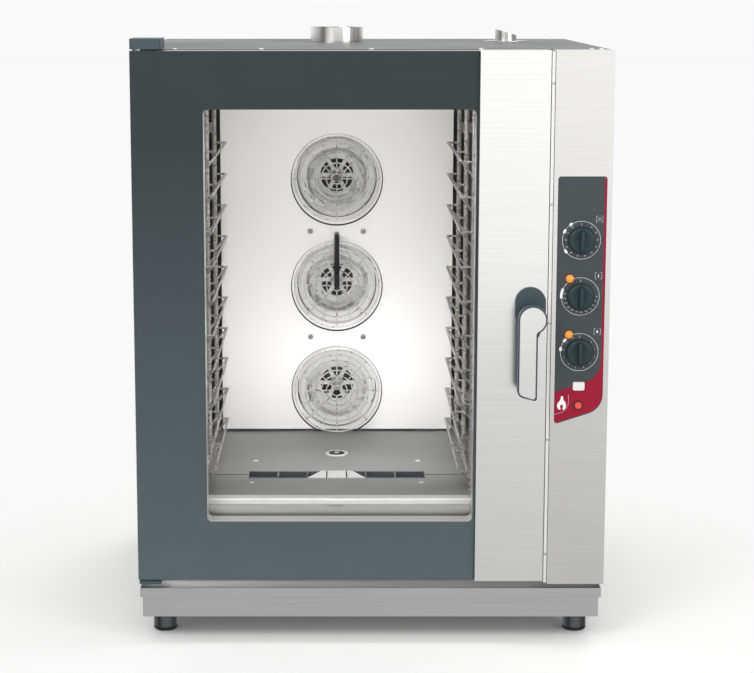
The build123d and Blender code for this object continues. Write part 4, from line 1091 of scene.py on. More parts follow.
@dataclass
class Services:
    """Flue, vent, pipes, gland and what stands inside the casing."""

    ridge: float = 0.0004
    pitch: float = 0.0018
    thread_end: float = 0.002
    gas_neck: float = 0.003
    water_neck: float = 0.010
    rim: float = 0.0013

    def dress(self) -> None:
        """Gives every service node its finish."""
        dress("flue_pipe", Finishes.flue)
        dress("vent_outlet", Finishes.fitting)
        dress("heat_exchanger", Finishes.zinc)
        dress("gas_train", Finishes.iron)
        dress("water_inlets", Finishes.brass, 0.0006)
        dress("drain_pipe", Finishes.fitting)
        dress("cable_gland", Finishes.black_plastic, 0.0006)
        dress("fan_motors", Finishes.iron, 0.001)
        dress("switch_bodies", Finishes.black_plastic, 0.0008)

    def build(self) -> None:
        """Adds the threads of the gas and water ends and the flue's rolled rim."""
        rear = where("rear_cover").high.y
        gas = self.mount("gas_inlet")
        waters = [self.mount("water_inlet_left"), self.mount("water_inlet_right")]
        self.thread("gas_thread", "cast_metal", Finishes.iron, [gas], rear + self.gas_neck)
        self.thread("water_threads", "brass", Finishes.brass, waters, rear + self.water_neck)
        self.flue_rim()

    def mount(self, name: str) -> dict:
        """Returns the record's entry for a mount."""
        return next(item for item in frame["record"]["mounts"] if item["name"] == name)

    def thread(self, name: str, slot: str, finish: Finish, mounts: list[dict], start: float) -> None:
        """Adds thread ridges round pipe ends.

        Args:
            name: the piece's name.
            slot: the record's material slot.
            finish: the finish.
            mounts: the pipe ends.
            start: depth where the ridges begin.
        """
        end = cad_bounds[1].y - self.thread_end
        rings = []
        for mount in mounts:
            x, _, z = mount["pos_m"]
            radius = mount["dims"]["r_mm"] * MM
            y = start
            while y < end:
                rings.append([Vector((px, y, pz)) for px, pz in circle((x, z), radius, 40)])
                y += self.pitch
        Piece(name, "cabinet", slot, finish).place(wires(rings, self.ridge, closed=True, fineness=1))

    def flue_rim(self) -> None:
        """Adds the rolled rim at the flue's mouth."""
        pipe = where("flue_pipe")
        centre = (pipe.middle.x, pipe.middle.y)
        radius = pipe.size.x / 2 - self.rim
        ring = [Vector((x, y, pipe.high.z - self.rim)) for x, y in circle(centre, radius, 96)]
        mesh = wires([ring], self.rim, closed=True)
        Piece("flue_rim", "cabinet", "galvanised_steel", Finishes.flue).place(mesh)


@dataclass
class Racks:
    """The two side racks in round wire, with rounded bends."""

    post_radius: float = 0.005
    rail_radius: float = 0.004
    wire_radius: float = 0.0025
    foot_rail: float = 0.016
    tray_gap: float = 0.0035
    overrun: float = 0.002
    drop: float = 0.032
    bend: float = 0.005
    levels: int = 10
    post_count: int = 3

    def build(self) -> None:
        """Builds both racks."""
        trays = [opening(f"tray_level_{i + 1:02d}") for i in range(self.levels)]
        heights = [tray.low.z - self.tray_gap for tray in trays]
        for side, sign in (("left", -1), ("right", 1)):
            rack = where(f"rack_{side}")
            outer = (rack.low.x if sign < 0 else rack.high.x) - sign * self.post_radius
            inner = (rack.high.x if sign < 0 else rack.low.x) + sign * self.wire_radius
            front, back = rack.low.y + self.post_radius, rack.high.y - self.post_radius
            depths = spaced(front, back, self.post_count)
            posts = [[Vector((outer, y, rack.low.z)), Vector((outer, y, rack.high.z))] for y in depths]
            rails = [
                [Vector((outer, front, z)), Vector((outer, back, z))]
                for z in (rack.low.z + self.foot_rail, rack.high.z - self.rail_radius)
            ]
            runs = []
            for z in heights:
                ends = (front - self.overrun, back + self.overrun)
                runs.append([Vector((inner, y, z)) for y in ends])
                for y in depths:
                    bracket = [(outer, y, z), (inner, y, z), (outer, y, z - self.drop)]
                    runs.append(rounded_path(bracket, self.bend))
            meshes = [
                wires(posts, self.post_radius, fineness=4),
                wires(rails, self.rail_radius),
                wires(runs, self.wire_radius),
            ]
            name = f"rack_{side}"
            piece = Piece(f"{name}_wires", "cabinet", "wire_chrome", Finishes.wire, (name,))
            piece.place(joined(meshes))


@dataclass
class FanSet:
    """Guards in round wire, the wheels with their hubs, the panel and the humidifier tube."""

    wire: float = 0.0015
    rings: tuple[float, ...] = tuple(0.0955 - 0.012 * i for i in range(8))
    main_spokes: int = 8
    short_from: float = 0.049
    short_to: float = 0.085
    spoke_lap: float = 1.8
    feet: int = 4
    foot_bend: float = 0.004
    # The next three values draw a painted shadow on the panel round each guard: two circles dropped below its
    # centre leave a thin dark crescent, widest below.
    shadow_outer: Flat = (0.0045, 0.0087)
    shadow_inner: Flat = (0.0030, 0.0065)
    shadow_depth: float = 0.0002
    disc_inset: float = 0.004
    nut_inset: float = 0.024
    screw_half: float = 0.06

    def dress(self) -> None:
        """Gives the wheels, the panel and the tube their finish."""
        dress("fan_panel", Finishes.panel, 0.0006)
        dress("humidifier_pipe", Finishes.dark_wire)
        for level in Level:
            dress(f"fan_wheel_{level.value}", Finishes.wheel)

    def build(self) -> None:
        """Builds each fan's guard and hub, and the screws between the fans."""
        for level in Level:
            self.guard(level)
            self.hub_nut(level)
            self.hub_shade_disc(level)
        self.panel_screws()

    def spoke(self, angle: float, start: float, end: float, centre: Vector, y: float) -> list[Vector]:
        """Lists the two ends of a radial wire.

        Args:
            angle: its direction in degrees.
            start: inner radius.
            end: outer radius.
            centre: the guard's centre.
            y: its depth.

        Returns:
            The two points.
        """
        way = Vector((math.cos(math.radians(angle)), 0.0, math.sin(math.radians(angle))))
        base = Vector((centre.x, y, centre.z))
        return [base + way * start, base + way * end]

    def guard(self, level: Level) -> None:
        """Builds one guard.

        Args:
            level: which fan it covers.
        """
        node = f"fan_guard_{level.value}"
        box = where(node)
        centre = box.middle
        front = box.low.y + self.wire
        behind = front + self.spoke_lap * self.wire
        circles = [circle((centre.x, centre.z), radius, 72) for radius in self.rings]
        rings = [[Vector((x, front, z)) for x, z in points] for points in circles]
        step = 360 / self.main_spokes
        radials = []
        for i in range(self.main_spokes):
            radials.append(self.spoke(i * step, self.rings[-1], self.rings[0], centre, behind))
            radials.append(self.spoke((i + 0.5) * step, self.short_from, self.short_to, centre, behind))
        for i in range(self.feet):
            top, foot = self.spoke(45 + i * 90, self.rings[1], self.rings[0] - self.wire, centre, behind)
            down = Vector((foot.x, box.high.y, foot.z))
            radials.append(rounded_path([top, foot, down], self.foot_bend))
        mesh = joined([wires(rings, self.wire, closed=True), wires(radials, self.wire)])
        name = f"guard_{level.value}_wires"
        Piece(name, "cabinet", "wire_chrome", Finishes.guard_wire, (node,)).place(mesh)
        self.rim(level, centre, where("fan_panel").low.y)

    def rim(self, level: Level, centre: Vector, y: float) -> None:
        """Adds a painted shadow on the panel round a guard: a thin dark crescent, widest below it, where the
        guard's outer ring casts its shade.

        Args:
            level: which fan.
            centre: the guard's centre.
            y: depth of the panel's face.
        """
        loops = []
        # painted shadow: the ring between the two dropped circles is the guard's shade on the panel
        for shadow_drop, growth in (self.shadow_outer, self.shadow_inner):
            loops.append(circle((centre.x, centre.z - shadow_drop), self.rings[0] + growth, 96))
        piece = Piece(f"inlet_{level.value}_step", "cabinet", "seal_rubber", Finishes.seal)
        piece.place(flat_shape(loops, y - self.shadow_depth, self.shadow_depth))

    def on_wheel(self, level: Level, kind: str, finish: Finish, mesh: Mesh, y: float) -> None:
        """Puts a turned part on the axis of a fan wheel.

        Args:
            level: which fan.
            kind: what the part is.
            finish: its finish.
            mesh: the part, standing along +Z.
            y: depth of its base.
        """
        middle = where(f"fan_guard_{level.value}").middle
        place = Facing.FRONT.at((middle.x, y, middle.z))
        piece = Piece(f"{kind}_{level.value}", f"fan_{level.value}", "cavity_steel", finish)
        piece.place(moved(mesh, place))

    def hub_shade_disc(self, level: Level) -> None:
        """Adds a dark dished disc that is painted shade over the hub zone of a wheel, and the turned boss
        round the wheel's nose.

        Args:
            level: which fan.
        """
        y = where(f"fan_wheel_{level.value}").high.y - self.disc_inset
        # painted shade: a dark annulus over the wheel's spokes, where the hub zone lies in shade
        shade_dish = [(0.038, 0.0), (0.038, 0.001), (0.030, 0.004), (0.020, 0.012), (0.017, 0.012), (0.017, 0.0)]
        self.on_wheel(level, "hub_shade_disc", Finishes.channel, lathe(shade_dish), y)
        boss = [
            (0.0165, 0.012),
            (0.0165, 0.022),
            (0.0150, 0.024),
            (0.0135, 0.024),
            (0.0130, 0.026),
            (0.0118, 0.026),
            (0.0112, 0.029),
            (0.0105, 0.029),
        ]
        self.on_wheel(level, "hub_boss", Finishes.bright, lathe(boss), y)

    def hub_nut(self, level: Level) -> None:
        """Adds the nut on the nose of a fan wheel's hub.

        Args:
            level: which fan.
        """
        y = where(f"fan_wheel_{level.value}").low.y + self.nut_inset
        nut = [
            (0.0115, 0.0),
            (0.0115, 0.001),
            (0.0085, 0.001),
            (0.0085, 0.007),
            (0.0075, 0.008),
            (0.003, 0.008),
        ]
        self.on_wheel(level, "hub_nut", Finishes.fitting, lathe(nut, 24, hexagon=4), y)

    def panel_screws(self) -> None:
        """Adds the four screws that hold the fan panel between the fans."""
        panel = where("fan_panel")
        fans = [where(f"fan_guard_{level.value}").middle for level in Level]
        places = []
        for low, high in zip(fans, fans[1:]):
            z = (low.z + high.z) / 2
            places += [(low.x + sign * self.screw_half, panel.low.y, z) for sign in (-1, 1)]
        piece = Piece("fan_panel_screws", "cabinet", "cavity_steel", Finishes.fitting)
        Screws(radius=0.005, rise=0.003).group(piece, places, Facing.FRONT)


@dataclass
class Cavity:
    """Lining, floor, strainers, cross channel and seal."""

    seam: float = 0.0016
    seam_rise: float = 0.0003
    screw_spread: float = 0.175
    screw_depths: Flat = (0.093, 0.271)
    plate_half: Flat = (0.0245, 0.009)
    plate_drop: float = 0.015
    plate_sheet: float = 0.001
    hole_pitch: float = 0.0085
    hole_rise: float = 0.0045
    wide_hole: float = 0.0026
    small_hole: float = 0.0018
    lid_sheet: float = 0.0008
    lid_gap: float = 0.0012
    lid_margin: float = 0.002

    def dress(self) -> None:
        """Gives every cavity node its finish."""
        for node in ("cavity_left_wall", "cavity_right_wall", "cavity_ceiling"):
            dress(node, Finishes.lining)
        dress("cavity_rear_wall", Finishes.rear_lining)
        dress("cavity_floor", Finishes.floor)
        dress("floor_grille", Finishes.channel)
        dress("drain_strainer", Finishes.bright, 0.0005)
        dress("rack_pegs", Finishes.lining, 0.001)
        dress("door_gasket", Finishes.pale_seal)

    def build(self) -> None:
        """Adds the floor's screws and seams, the channel's lids and both strainers' fine parts."""
        floor = where("cavity_floor")
        drain = where("drain_strainer").middle
        channel = where("floor_grille")
        sides = (-self.screw_spread, self.screw_spread)
        places = [(drain.x + x, floor.low.y + y, floor.high.z) for x in sides for y in self.screw_depths]
        piece = Piece("floor_screws", "cabinet", "cavity_steel", Finishes.bright)
        Screws(radius=0.0045, rise=0.0018).group(piece, places, Facing.UP)
        self.seams(floor, channel)
        self.lids(channel)
        self.mouth_strainer(drain.x)
        self.strainer_well(where("drain_strainer"))

    def strainer_well(self, strainer: Place) -> None:
        """Adds the dark sieve and its bright button in the middle of the strainer.

        Args:
            strainer: the strainer's place.
        """
        place = Facing.UP.at((strainer.middle.x, strainer.middle.y, strainer.high.z))
        well = lathe([(0.0175, 0.0), (0.0170, 0.0004), (0.0080, 0.0005)], 40)
        Piece("strainer_sieve", "cabinet", "seal_rubber", Finishes.seal).place(moved(well, place))
        button = lathe([(0.0060, 0.0004), (0.0060, 0.0012), (0.0045, 0.0018)], 24)
        Piece("strainer_button", "cabinet", "cavity_steel", Finishes.bright).place(moved(button, place))

    def mouth_strainer(self, x: float) -> None:
        """Adds the small oval pierced plate under the mouth.

        Args:
            x: where its middle is.
        """
        face = where("front_frame")
        z = where("cavity_floor").high.z - self.plate_drop
        half_width, half_height = self.plate_half
        outline = [(x + half_width * cx, z + half_height * cz) for cx, cz in circle((0.0, 0.0), 1.0, 48)]
        holes = [circle((x + step * self.hole_pitch, z), self.wide_hole, 16) for step in (-2, -1, 0, 1, 2)]
        for step in (-1.5, -0.5, 0.5, 1.5):
            for side in (-1, 1):
                centre = (x + step * self.hole_pitch, z + side * self.hole_rise)
                holes.append(circle(centre, self.small_hole, 12))
        piece = Piece("mouth_strainer", "cabinet", "cavity_steel", Finishes.fitting)
        piece.place(flat_shape([outline, *holes], face.low.y - self.plate_sheet, self.plate_sheet))

    def lids(self, channel: Place) -> None:
        """Adds the bright plates over the middle of the channel, with slanted ends.

        Args:
            channel: the channel's place.
        """
        half = channel.size.y / 2 - self.lid_margin
        middle = channel.middle
        edges = spaced(middle.x - channel.size.x / 6, middle.x + channel.size.x / 6, 4)
        front, back = middle.y - half, middle.y + half
        outlines = []
        for number, (start, end) in enumerate(zip(edges, edges[1:])):
            x0, x1 = start + self.lid_gap, end - self.lid_gap
            left_slant = half if number == 0 else 0.0
            right_slant = half if number == 2 else 0.0
            outlines.append([(x0, front), (x1, front), (x1 - right_slant, back), (x0 + left_slant, back)])
        mesh = plates(outlines, channel.high.z, self.lid_sheet)
        Piece("channel_lids", "cabinet", "cavity_steel", Finishes.bright).place(mesh)

    def seams(self, floor: Place, channel: Place) -> None:
        """Adds the thin dark joints from the channel's ends to the side walls.

        Args:
            floor: the floor's place.
            channel: the channel's place.
        """
        front, back = channel.middle.y - self.seam, channel.middle.y + self.seam
        outlines = []
        for start, end in ((floor.low.x, channel.low.x), (channel.high.x, floor.high.x)):
            outlines.append([(start, front), (end, front), (end, back), (start, back)])
        mesh = plates(outlines, floor.high.z, self.seam_rise)
        Piece("floor_seams", "cabinet", "seal_rubber", Finishes.seal).place(mesh)


@dataclass
class Door:
    """Glass, print, strip, frame, handle and latch."""

    fold: float = 0.0008
    clip_screw_out: float = 0.007
    clip_screw_inset: float = 0.015

    def dress(self) -> None:
        """Gives every door node its finish."""
        dress("door_outer_glass", Finishes.outer_pane)
        dress("glass_print", Finishes.slate)
        dress("door_steel_strip", Finishes.strip, self.fold)
        dress("door_frame", Finishes.front)
        dress("door_inner_glass", Finishes.inner_pane)
        dress("glass_clips", Finishes.fitting, 0.0004)
        dress("hinge_pins", Finishes.fitting)
        dress("handle_rosette", Finishes.slate_plastic, 0.0008)
        dress("handle_lever", Finishes.slate_plastic, 0.0012)
        dress("handle_cover", Finishes.strip, 0.0003)
        dress("latch_spindle", Finishes.fitting, 0.0005)

    def build(self) -> None:
        """Adds the screws on the door's inner side."""
        clips = where("glass_clips")
        inner = where("door_inner_glass")
        across = (inner.low.x - self.clip_screw_out, inner.high.x + self.clip_screw_out)
        heights = (clips.low.z + self.clip_screw_inset, clips.high.z - self.clip_screw_inset)
        places = [(x, clips.high.y, z) for x in across for z in heights]
        piece = Piece("clip_screws", "door", "cavity_steel", Finishes.fitting)
        Screws(radius=0.0022, rise=0.0012).group(piece, places, Facing.REAR)


@dataclass
class DialPrint:
    """The print round one dial: ring, top tick, figures and blocks."""

    name: str
    figures: tuple[str, ...]
    first: float
    last: float
    blocks: tuple[Flat, ...]
    ring: float = 0.037
    line: float = 0.0008
    tick: Flat = (0.0285, 0.0335)
    block_in: float = 0.0022
    block_out: float = 0.0026
    figure_radius: float = 0.0312
    figure_height: float = 0.0042

    def at(self, centre: Flat, degrees: float, radius: float) -> Flat:
        """Finds a point round the dial.

        Args:
            centre: the dial's centre.
            degrees: clockwise from the top.
            radius: distance from the centre.

        Returns:
            The point as x and z.
        """
        angle = math.radians(degrees)
        return (centre[0] + radius * math.sin(angle), centre[1] + radius * math.cos(angle))

    def marks(self, centre: Flat) -> list[list[Flat]]:
        """Lists the outlines of the ring and of the tick at the top.

        Args:
            centre: the dial's centre.

        Returns:
            The outlines.
        """
        half = self.line / 2
        x, z = centre
        tick = oblong(x - half, x + half, z + self.tick[0], z + self.tick[1])
        return [circle(centre, self.ring + half), circle(centre, self.ring - half), tick]

    def block_loops(self, centre: Flat) -> list[list[Flat]]:
        """Lists the outlines of the white blocks on the ring.

        Args:
            centre: the dial's centre.

        Returns:
            The outlines.
        """
        loops = []
        inner, outer = self.ring - self.block_in, self.ring + self.block_out
        for start, end in self.blocks:
            steps = spaced(start, end, 5)
            loop = [self.at(centre, angle, outer) for angle in steps]
            loop += [self.at(centre, angle, inner) for angle in reversed(steps)]
            loops.append(loop)
        return loops

    def figure_meshes(self, centre: Flat, y: float, thickness: float) -> list[Mesh]:
        """Makes the figures.

        Args:
            centre: the dial's centre.
            y: depth of their front.
            thickness: their thickness.

        Returns:
            One mesh for each figure.
        """
        meshes = []
        for text, angle in zip(self.figures, spaced(self.first, self.last, len(self.figures))):
            spot = self.at(centre, angle, self.figure_radius)
            meshes.append(label(text, self.figure_height, spot, y, thickness))
        return meshes


@dataclass
class Knob:
    """A turned skirt with a tapered grip bar across it."""

    name: str
    radius: float = 0.0265
    skirt: float = 0.012
    grip_height: float = 0.013
    grip_width: float = 0.0085
    grip_foot: float = 0.0125
    grip_steps: int = 40
    stub: float = 0.003
    line_half: float = 0.0006
    line_ends: Flat = (0.007, 0.0155)
    line_depth: float = 0.0003
    line_proud: float = 0.00001

    def build(self) -> None:
        """Builds the knob over its node."""
        node = where(self.name)
        base = node.high.y
        front = node.low.y
        seat = front + self.skirt + self.grip_height
        rings = [
            (self.radius - 0.001, 0.0),
            (self.radius, 0.0006),
            (self.radius - 0.0008, self.skirt - 0.004),
            (self.radius - 0.0016, self.skirt - 0.0018),
            (self.radius - 0.0032, self.skirt - 0.0004),
            (self.radius - 0.006, self.skirt),
            (self.radius - 0.009, self.skirt - 0.0006),
        ]
        skirt = lathe(rings, 72)
        stub = lathe([(self.stub, seat - base), (self.stub, 0.0)], 24)
        place = Facing.FRONT.at((node.middle.x, seat, node.middle.z))
        mesh = moved(joined([skirt, self.grip(), stub]), place)
        piece = Piece(f"{self.name}_form", self.name, "dark_plastic", Finishes.knob_plastic, (self.name,))
        piece.place(mesh)
        self.pointer(node, front)

    def grip(self) -> Mesh:
        """Makes the grip bar from stacked lens-shaped sections.

        Returns:
            The bar, standing on the skirt along +Z.
        """
        work = bmesh.new()
        top = self.skirt + self.grip_height
        sections = [
            (self.skirt - 0.0015, self.grip_foot, self.radius - 0.0035),
            (self.skirt + 0.0015, self.grip_width + 0.001, self.radius - 0.0042),
            (top - 0.0025, self.grip_width - 0.001, self.radius - 0.006),
            (top - 0.0008, self.grip_width - 0.0018, self.radius - 0.0066),
            (top, self.grip_width - 0.0034, self.radius - 0.0082),
        ]
        loops = []
        for height, half_width, half_length in sections:
            loop = []
            for step in range(self.grip_steps):
                angle = 2 * math.pi * step / self.grip_steps
                c, s = math.cos(angle), math.sin(angle)
                x = half_width * math.copysign(abs(c) ** 0.55, c) * 0.55
                y = half_length * math.copysign(abs(s) ** 0.8, s)
                loop.append(work.verts.new((x, y, height)))
            loops.append(loop)
        return skinned(work, loops)

    def pointer(self, node: Place, front: float) -> None:
        """Adds the pale line on the grip's end.

        Args:
            node: the knob's place.
            front: depth of the grip's face.
        """
        x, z = node.middle.x, node.middle.z
        foot, top = self.line_ends
        outline = oblong(x - self.line_half, x + self.line_half, z + foot, z + top)
        mesh = flat_shape([outline], front + self.line_proud, self.line_depth)
        Piece(f"{self.name}_pointer", self.name, "white_plastic", Finishes.pale_ink).place(mesh)


@dataclass
class Controls:
    """The column's film with its prints, the knobs, lamps, key and button."""

    foot_rise: float = 0.031
    strip: float = 0.0045
    corner: float = 0.006
    sweep: float = 0.040
    inner_sweep: float = 0.045
    crimson_left: float = 0.511
    thickness: float = 0.0001
    margin: float = 0.0003
    icon_offset: Flat = (0.0345, 0.041)
    flame_offset: Flat = (0.0145, 0.040)
    sign_line: float = 0.00028
    sign_bend: float = 0.007
    lamp_rim: float = 0.0006
    lamp_gap: float = 0.0004

    def dress(self) -> None:
        """Gives every control node its finish."""
        dress("column_front", Finishes.column, 0.0009)
        dress("control_overlay", Finishes.film)
        dress("indicator_lamps", Finishes.lens)
        dress("reset_bezel", Finishes.black_plastic, 0.0004)
        dress("reset_button", Finishes.red_plastic, 0.0006)
        dress("push_key", Finishes.white_plastic, 0.0008)

    def build(self) -> None:
        """Adds the knobs, the prints and the rims of the lamps."""
        film = where("control_overlay")
        y = film.low.y - self.thickness
        for name in ("timer_knob", "temperature_knob", "humidity_knob"):
            Knob(name).build()
        self.crimson(film, y)
        self.dials(y)
        self.icons(y)
        self.flame(film, y)
        self.lamp_rims(y)

    def crimson(self, film: Place, y: float) -> None:
        """Builds the crimson band along the right edge and the foot.

        Args:
            film: the film's place.
            y: depth of the print's front.
        """
        inset = 0.0002
        left, right = film.low.x + inset, film.high.x - inset
        foot, top = film.low.z + inset, film.high.z - inset
        slope = self.foot_rise / (film.high.x - film.low.x)
        alpha = math.degrees(math.atan(slope))
        lift = 1 / math.cos(math.radians(alpha))
        small = self.corner
        outline = [(right - self.strip, top)]
        outline += circle((right - small, top - small), small, 6, 70, 0)
        sweep_z = foot + slope * (right - self.sweep - left) + self.sweep * lift
        outline += circle((right - self.sweep, sweep_z), self.sweep, 20, 0, -90 + alpha)
        corner_z = foot + slope * small + small * lift
        outline += circle((left + small, corner_z), small, 8, -90 + alpha, -180)
        outline.append((left, self.crimson_left))
        inner_x = right - self.strip - self.inner_sweep
        inner_z = self.crimson_left + slope * (inner_x - left) + self.inner_sweep * lift
        outline += circle((inner_x, inner_z), self.inner_sweep, 20, -90 + alpha, 0)
        loops = [outline, *self.control_gaps()]
        mesh = flat_shape(loops, y, self.thickness)
        Piece("crimson_band", "cabinet", "overlay_film", Finishes.crimson).place(mesh)

    def control_gaps(self) -> list[list[Flat]]:
        """Lists the outlines that stay free for the key and the button.

        Returns:
            The outlines.
        """
        key, button = where("push_key"), where("reset_bezel")
        gap = self.margin
        slot = oblong(key.low.x - gap, key.high.x + gap, key.low.z - gap, key.high.z + gap)
        return [slot, circle((button.middle.x, button.middle.z), button.size.x / 2, 48)]

    def dials(self, y: float) -> None:
        """Builds the prints round the dials.

        Args:
            y: depth of the print's front.
        """
        minutes = tuple(str(number) for number in range(10, 130, 10))
        degrees = tuple(str(number) for number in range(50, 280, 20))
        steps = tuple(str(number) for number in range(11))
        prints = [
            DialPrint("timer", minutes, 36, 323, ((-39, -29), (-68, -56), (-132, -120))),
            DialPrint("temperature", degrees, 90, 280, ((-96, -66),)),
            DialPrint("humidity", steps, 50, 335, ((-57, -45), (-86, -74))),
        ]
        for dial in prints:
            knob = where(f"{dial.name}_knob").middle
            centre = (knob.x, knob.z)
            figures = dial.figure_meshes(centre, y, self.thickness)
            ring = flat_shape(dial.marks(centre), y, self.thickness)
            piece = Piece(f"{dial.name}_scale", "cabinet", "white_plastic", Finishes.pale_ink)
            piece.place(joined([ring, *figures]))
            blocks = flat_shape(dial.block_loops(centre), y - self.thickness, self.thickness)
            Piece(f"{dial.name}_blocks", "cabinet", "white_plastic", Finishes.white_ink).place(blocks)

    def icons(self, y: float) -> None:
        """Builds a small plain sign above and right of each dial.

        Args:
            y: depth of the print's front.
        """
        signs = {"timer": self.clock, "temperature": self.thermometer, "humidity": self.drop}
        for name, outlines in signs.items():
            knob = where(f"{name}_knob").middle
            x, z = knob.x + self.icon_offset[0], knob.z + self.icon_offset[1]
            mesh = flat_shape(self.brackets(x, z) + outlines(x, z), y, self.thickness)
            Piece(f"{name}_sign", "cabinet", "white_plastic", Finishes.pale_ink).place(mesh)

    def brackets(self, x: float, z: float) -> list[list[Flat]]:
        """Lists the outlines of a pair of rounded brackets round a sign.

        Args:
            x: the sign's middle across.
            z: the sign's middle up.

        Returns:
            The outlines.
        """
        outer_edge = ((0.003, 0.0065), (0.0058, 0.0065), (0.0066, 0.0056))
        inner_edge = ((0.003, 0.006), (0.0056, 0.006), (0.0061, 0.0053))
        loops = []
        for sign in (-1, 1):
            outer, inner = ([(x + sign * px, z + pz) for px, pz in edge] for edge in (outer_edge, inner_edge))
            outer += [(px, 2 * z - pz) for px, pz in reversed(outer)]
            inner += [(px, 2 * z - pz) for px, pz in reversed(inner)]
            loops.append(outer + list(reversed(inner)))
        return loops

    def clock(self, x: float, z: float) -> list[list[Flat]]:
        """Lists the outlines of a clock face with one hand."""
        hand = oblong(x - 0.0003, x + 0.0003, z - 0.0003, z + 0.0024)
        return [circle((x, z), 0.0034, 32), circle((x, z), 0.0029, 32), hand]

    def thermometer(self, x: float, z: float) -> list[list[Flat]]:
        """Lists the outline of a thermometer."""
        bulb = circle((x, z - 0.0022), 0.0014, 16, 120, 420)
        return [bulb + [(x + 0.0006, z + 0.0036), (x - 0.0006, z + 0.0036)]]

    def drop(self, x: float, z: float) -> list[list[Flat]]:
        """Lists the outline of a drop."""
        return [circle((x, z - 0.001), 0.002, 20, 150, 390) + [(x, z + 0.0036)]]

    def flame(self, film: Place, y: float) -> None:
        """Builds a plain flame and the pale line beside it on the crimson foot.

        Args:
            film: the film's place.
            y: depth of the print's front.
        """
        x, z = film.low.x + self.flame_offset[0], film.low.z + self.flame_offset[1]
        edge = [
            (0.0010, 0.0150),
            (0.0035, 0.0070),
            (0.0078, 0.0005),
            (0.0084, -0.0060),
            (0.0048, -0.0125),
            (0.0022, -0.0120),
            (0.0030, -0.0070),
            (0.0005, -0.0020),
            (-0.0032, -0.0075),
            (-0.0020, -0.0122),
            (-0.0052, -0.0120),
            (-0.0086, -0.0060),
            (-0.0078, 0.0000),
            (-0.0032, 0.0060),
        ]
        outline = [(x + px, z + pz) for px, pz in edge]
        mesh = flat_shape([outline], y - self.thickness, self.thickness, smooth=True)
        Piece("flame_sign", "cabinet", "white_plastic", Finishes.white_ink).place(mesh)
        bends = ((0.0135, 0.018), (0.0135, -0.004), (0.0045, -0.017), (-0.0135, -0.022))
        route = [(x + px, y, z + pz) for px, pz in bends]
        mesh = wires([rounded_path(route, self.sign_bend, 8)], self.sign_line, fineness=1)
        Piece("flame_line", "cabinet", "white_plastic", Finishes.pale_ink).place(mesh)

    def lamp_rims(self, y: float) -> None:
        """Adds the dark rim round each lamp.

        Args:
            y: depth of the print's front.
        """
        lamps = where("indicator_lamps")
        radius = lamps.size.x / 2
        rings = []
        for z in (lamps.low.z + radius, lamps.high.z - radius):
            points = circle((lamps.middle.x, z), radius + self.lamp_gap, 48)
            rings.append([Vector((px, y - self.lamp_rim, pz)) for px, pz in points])
        mesh = wires(rings, self.lamp_rim, closed=True)
        Piece("lamp_rims", "cabinet", "dark_plastic", Finishes.black_plastic).place(mesh)


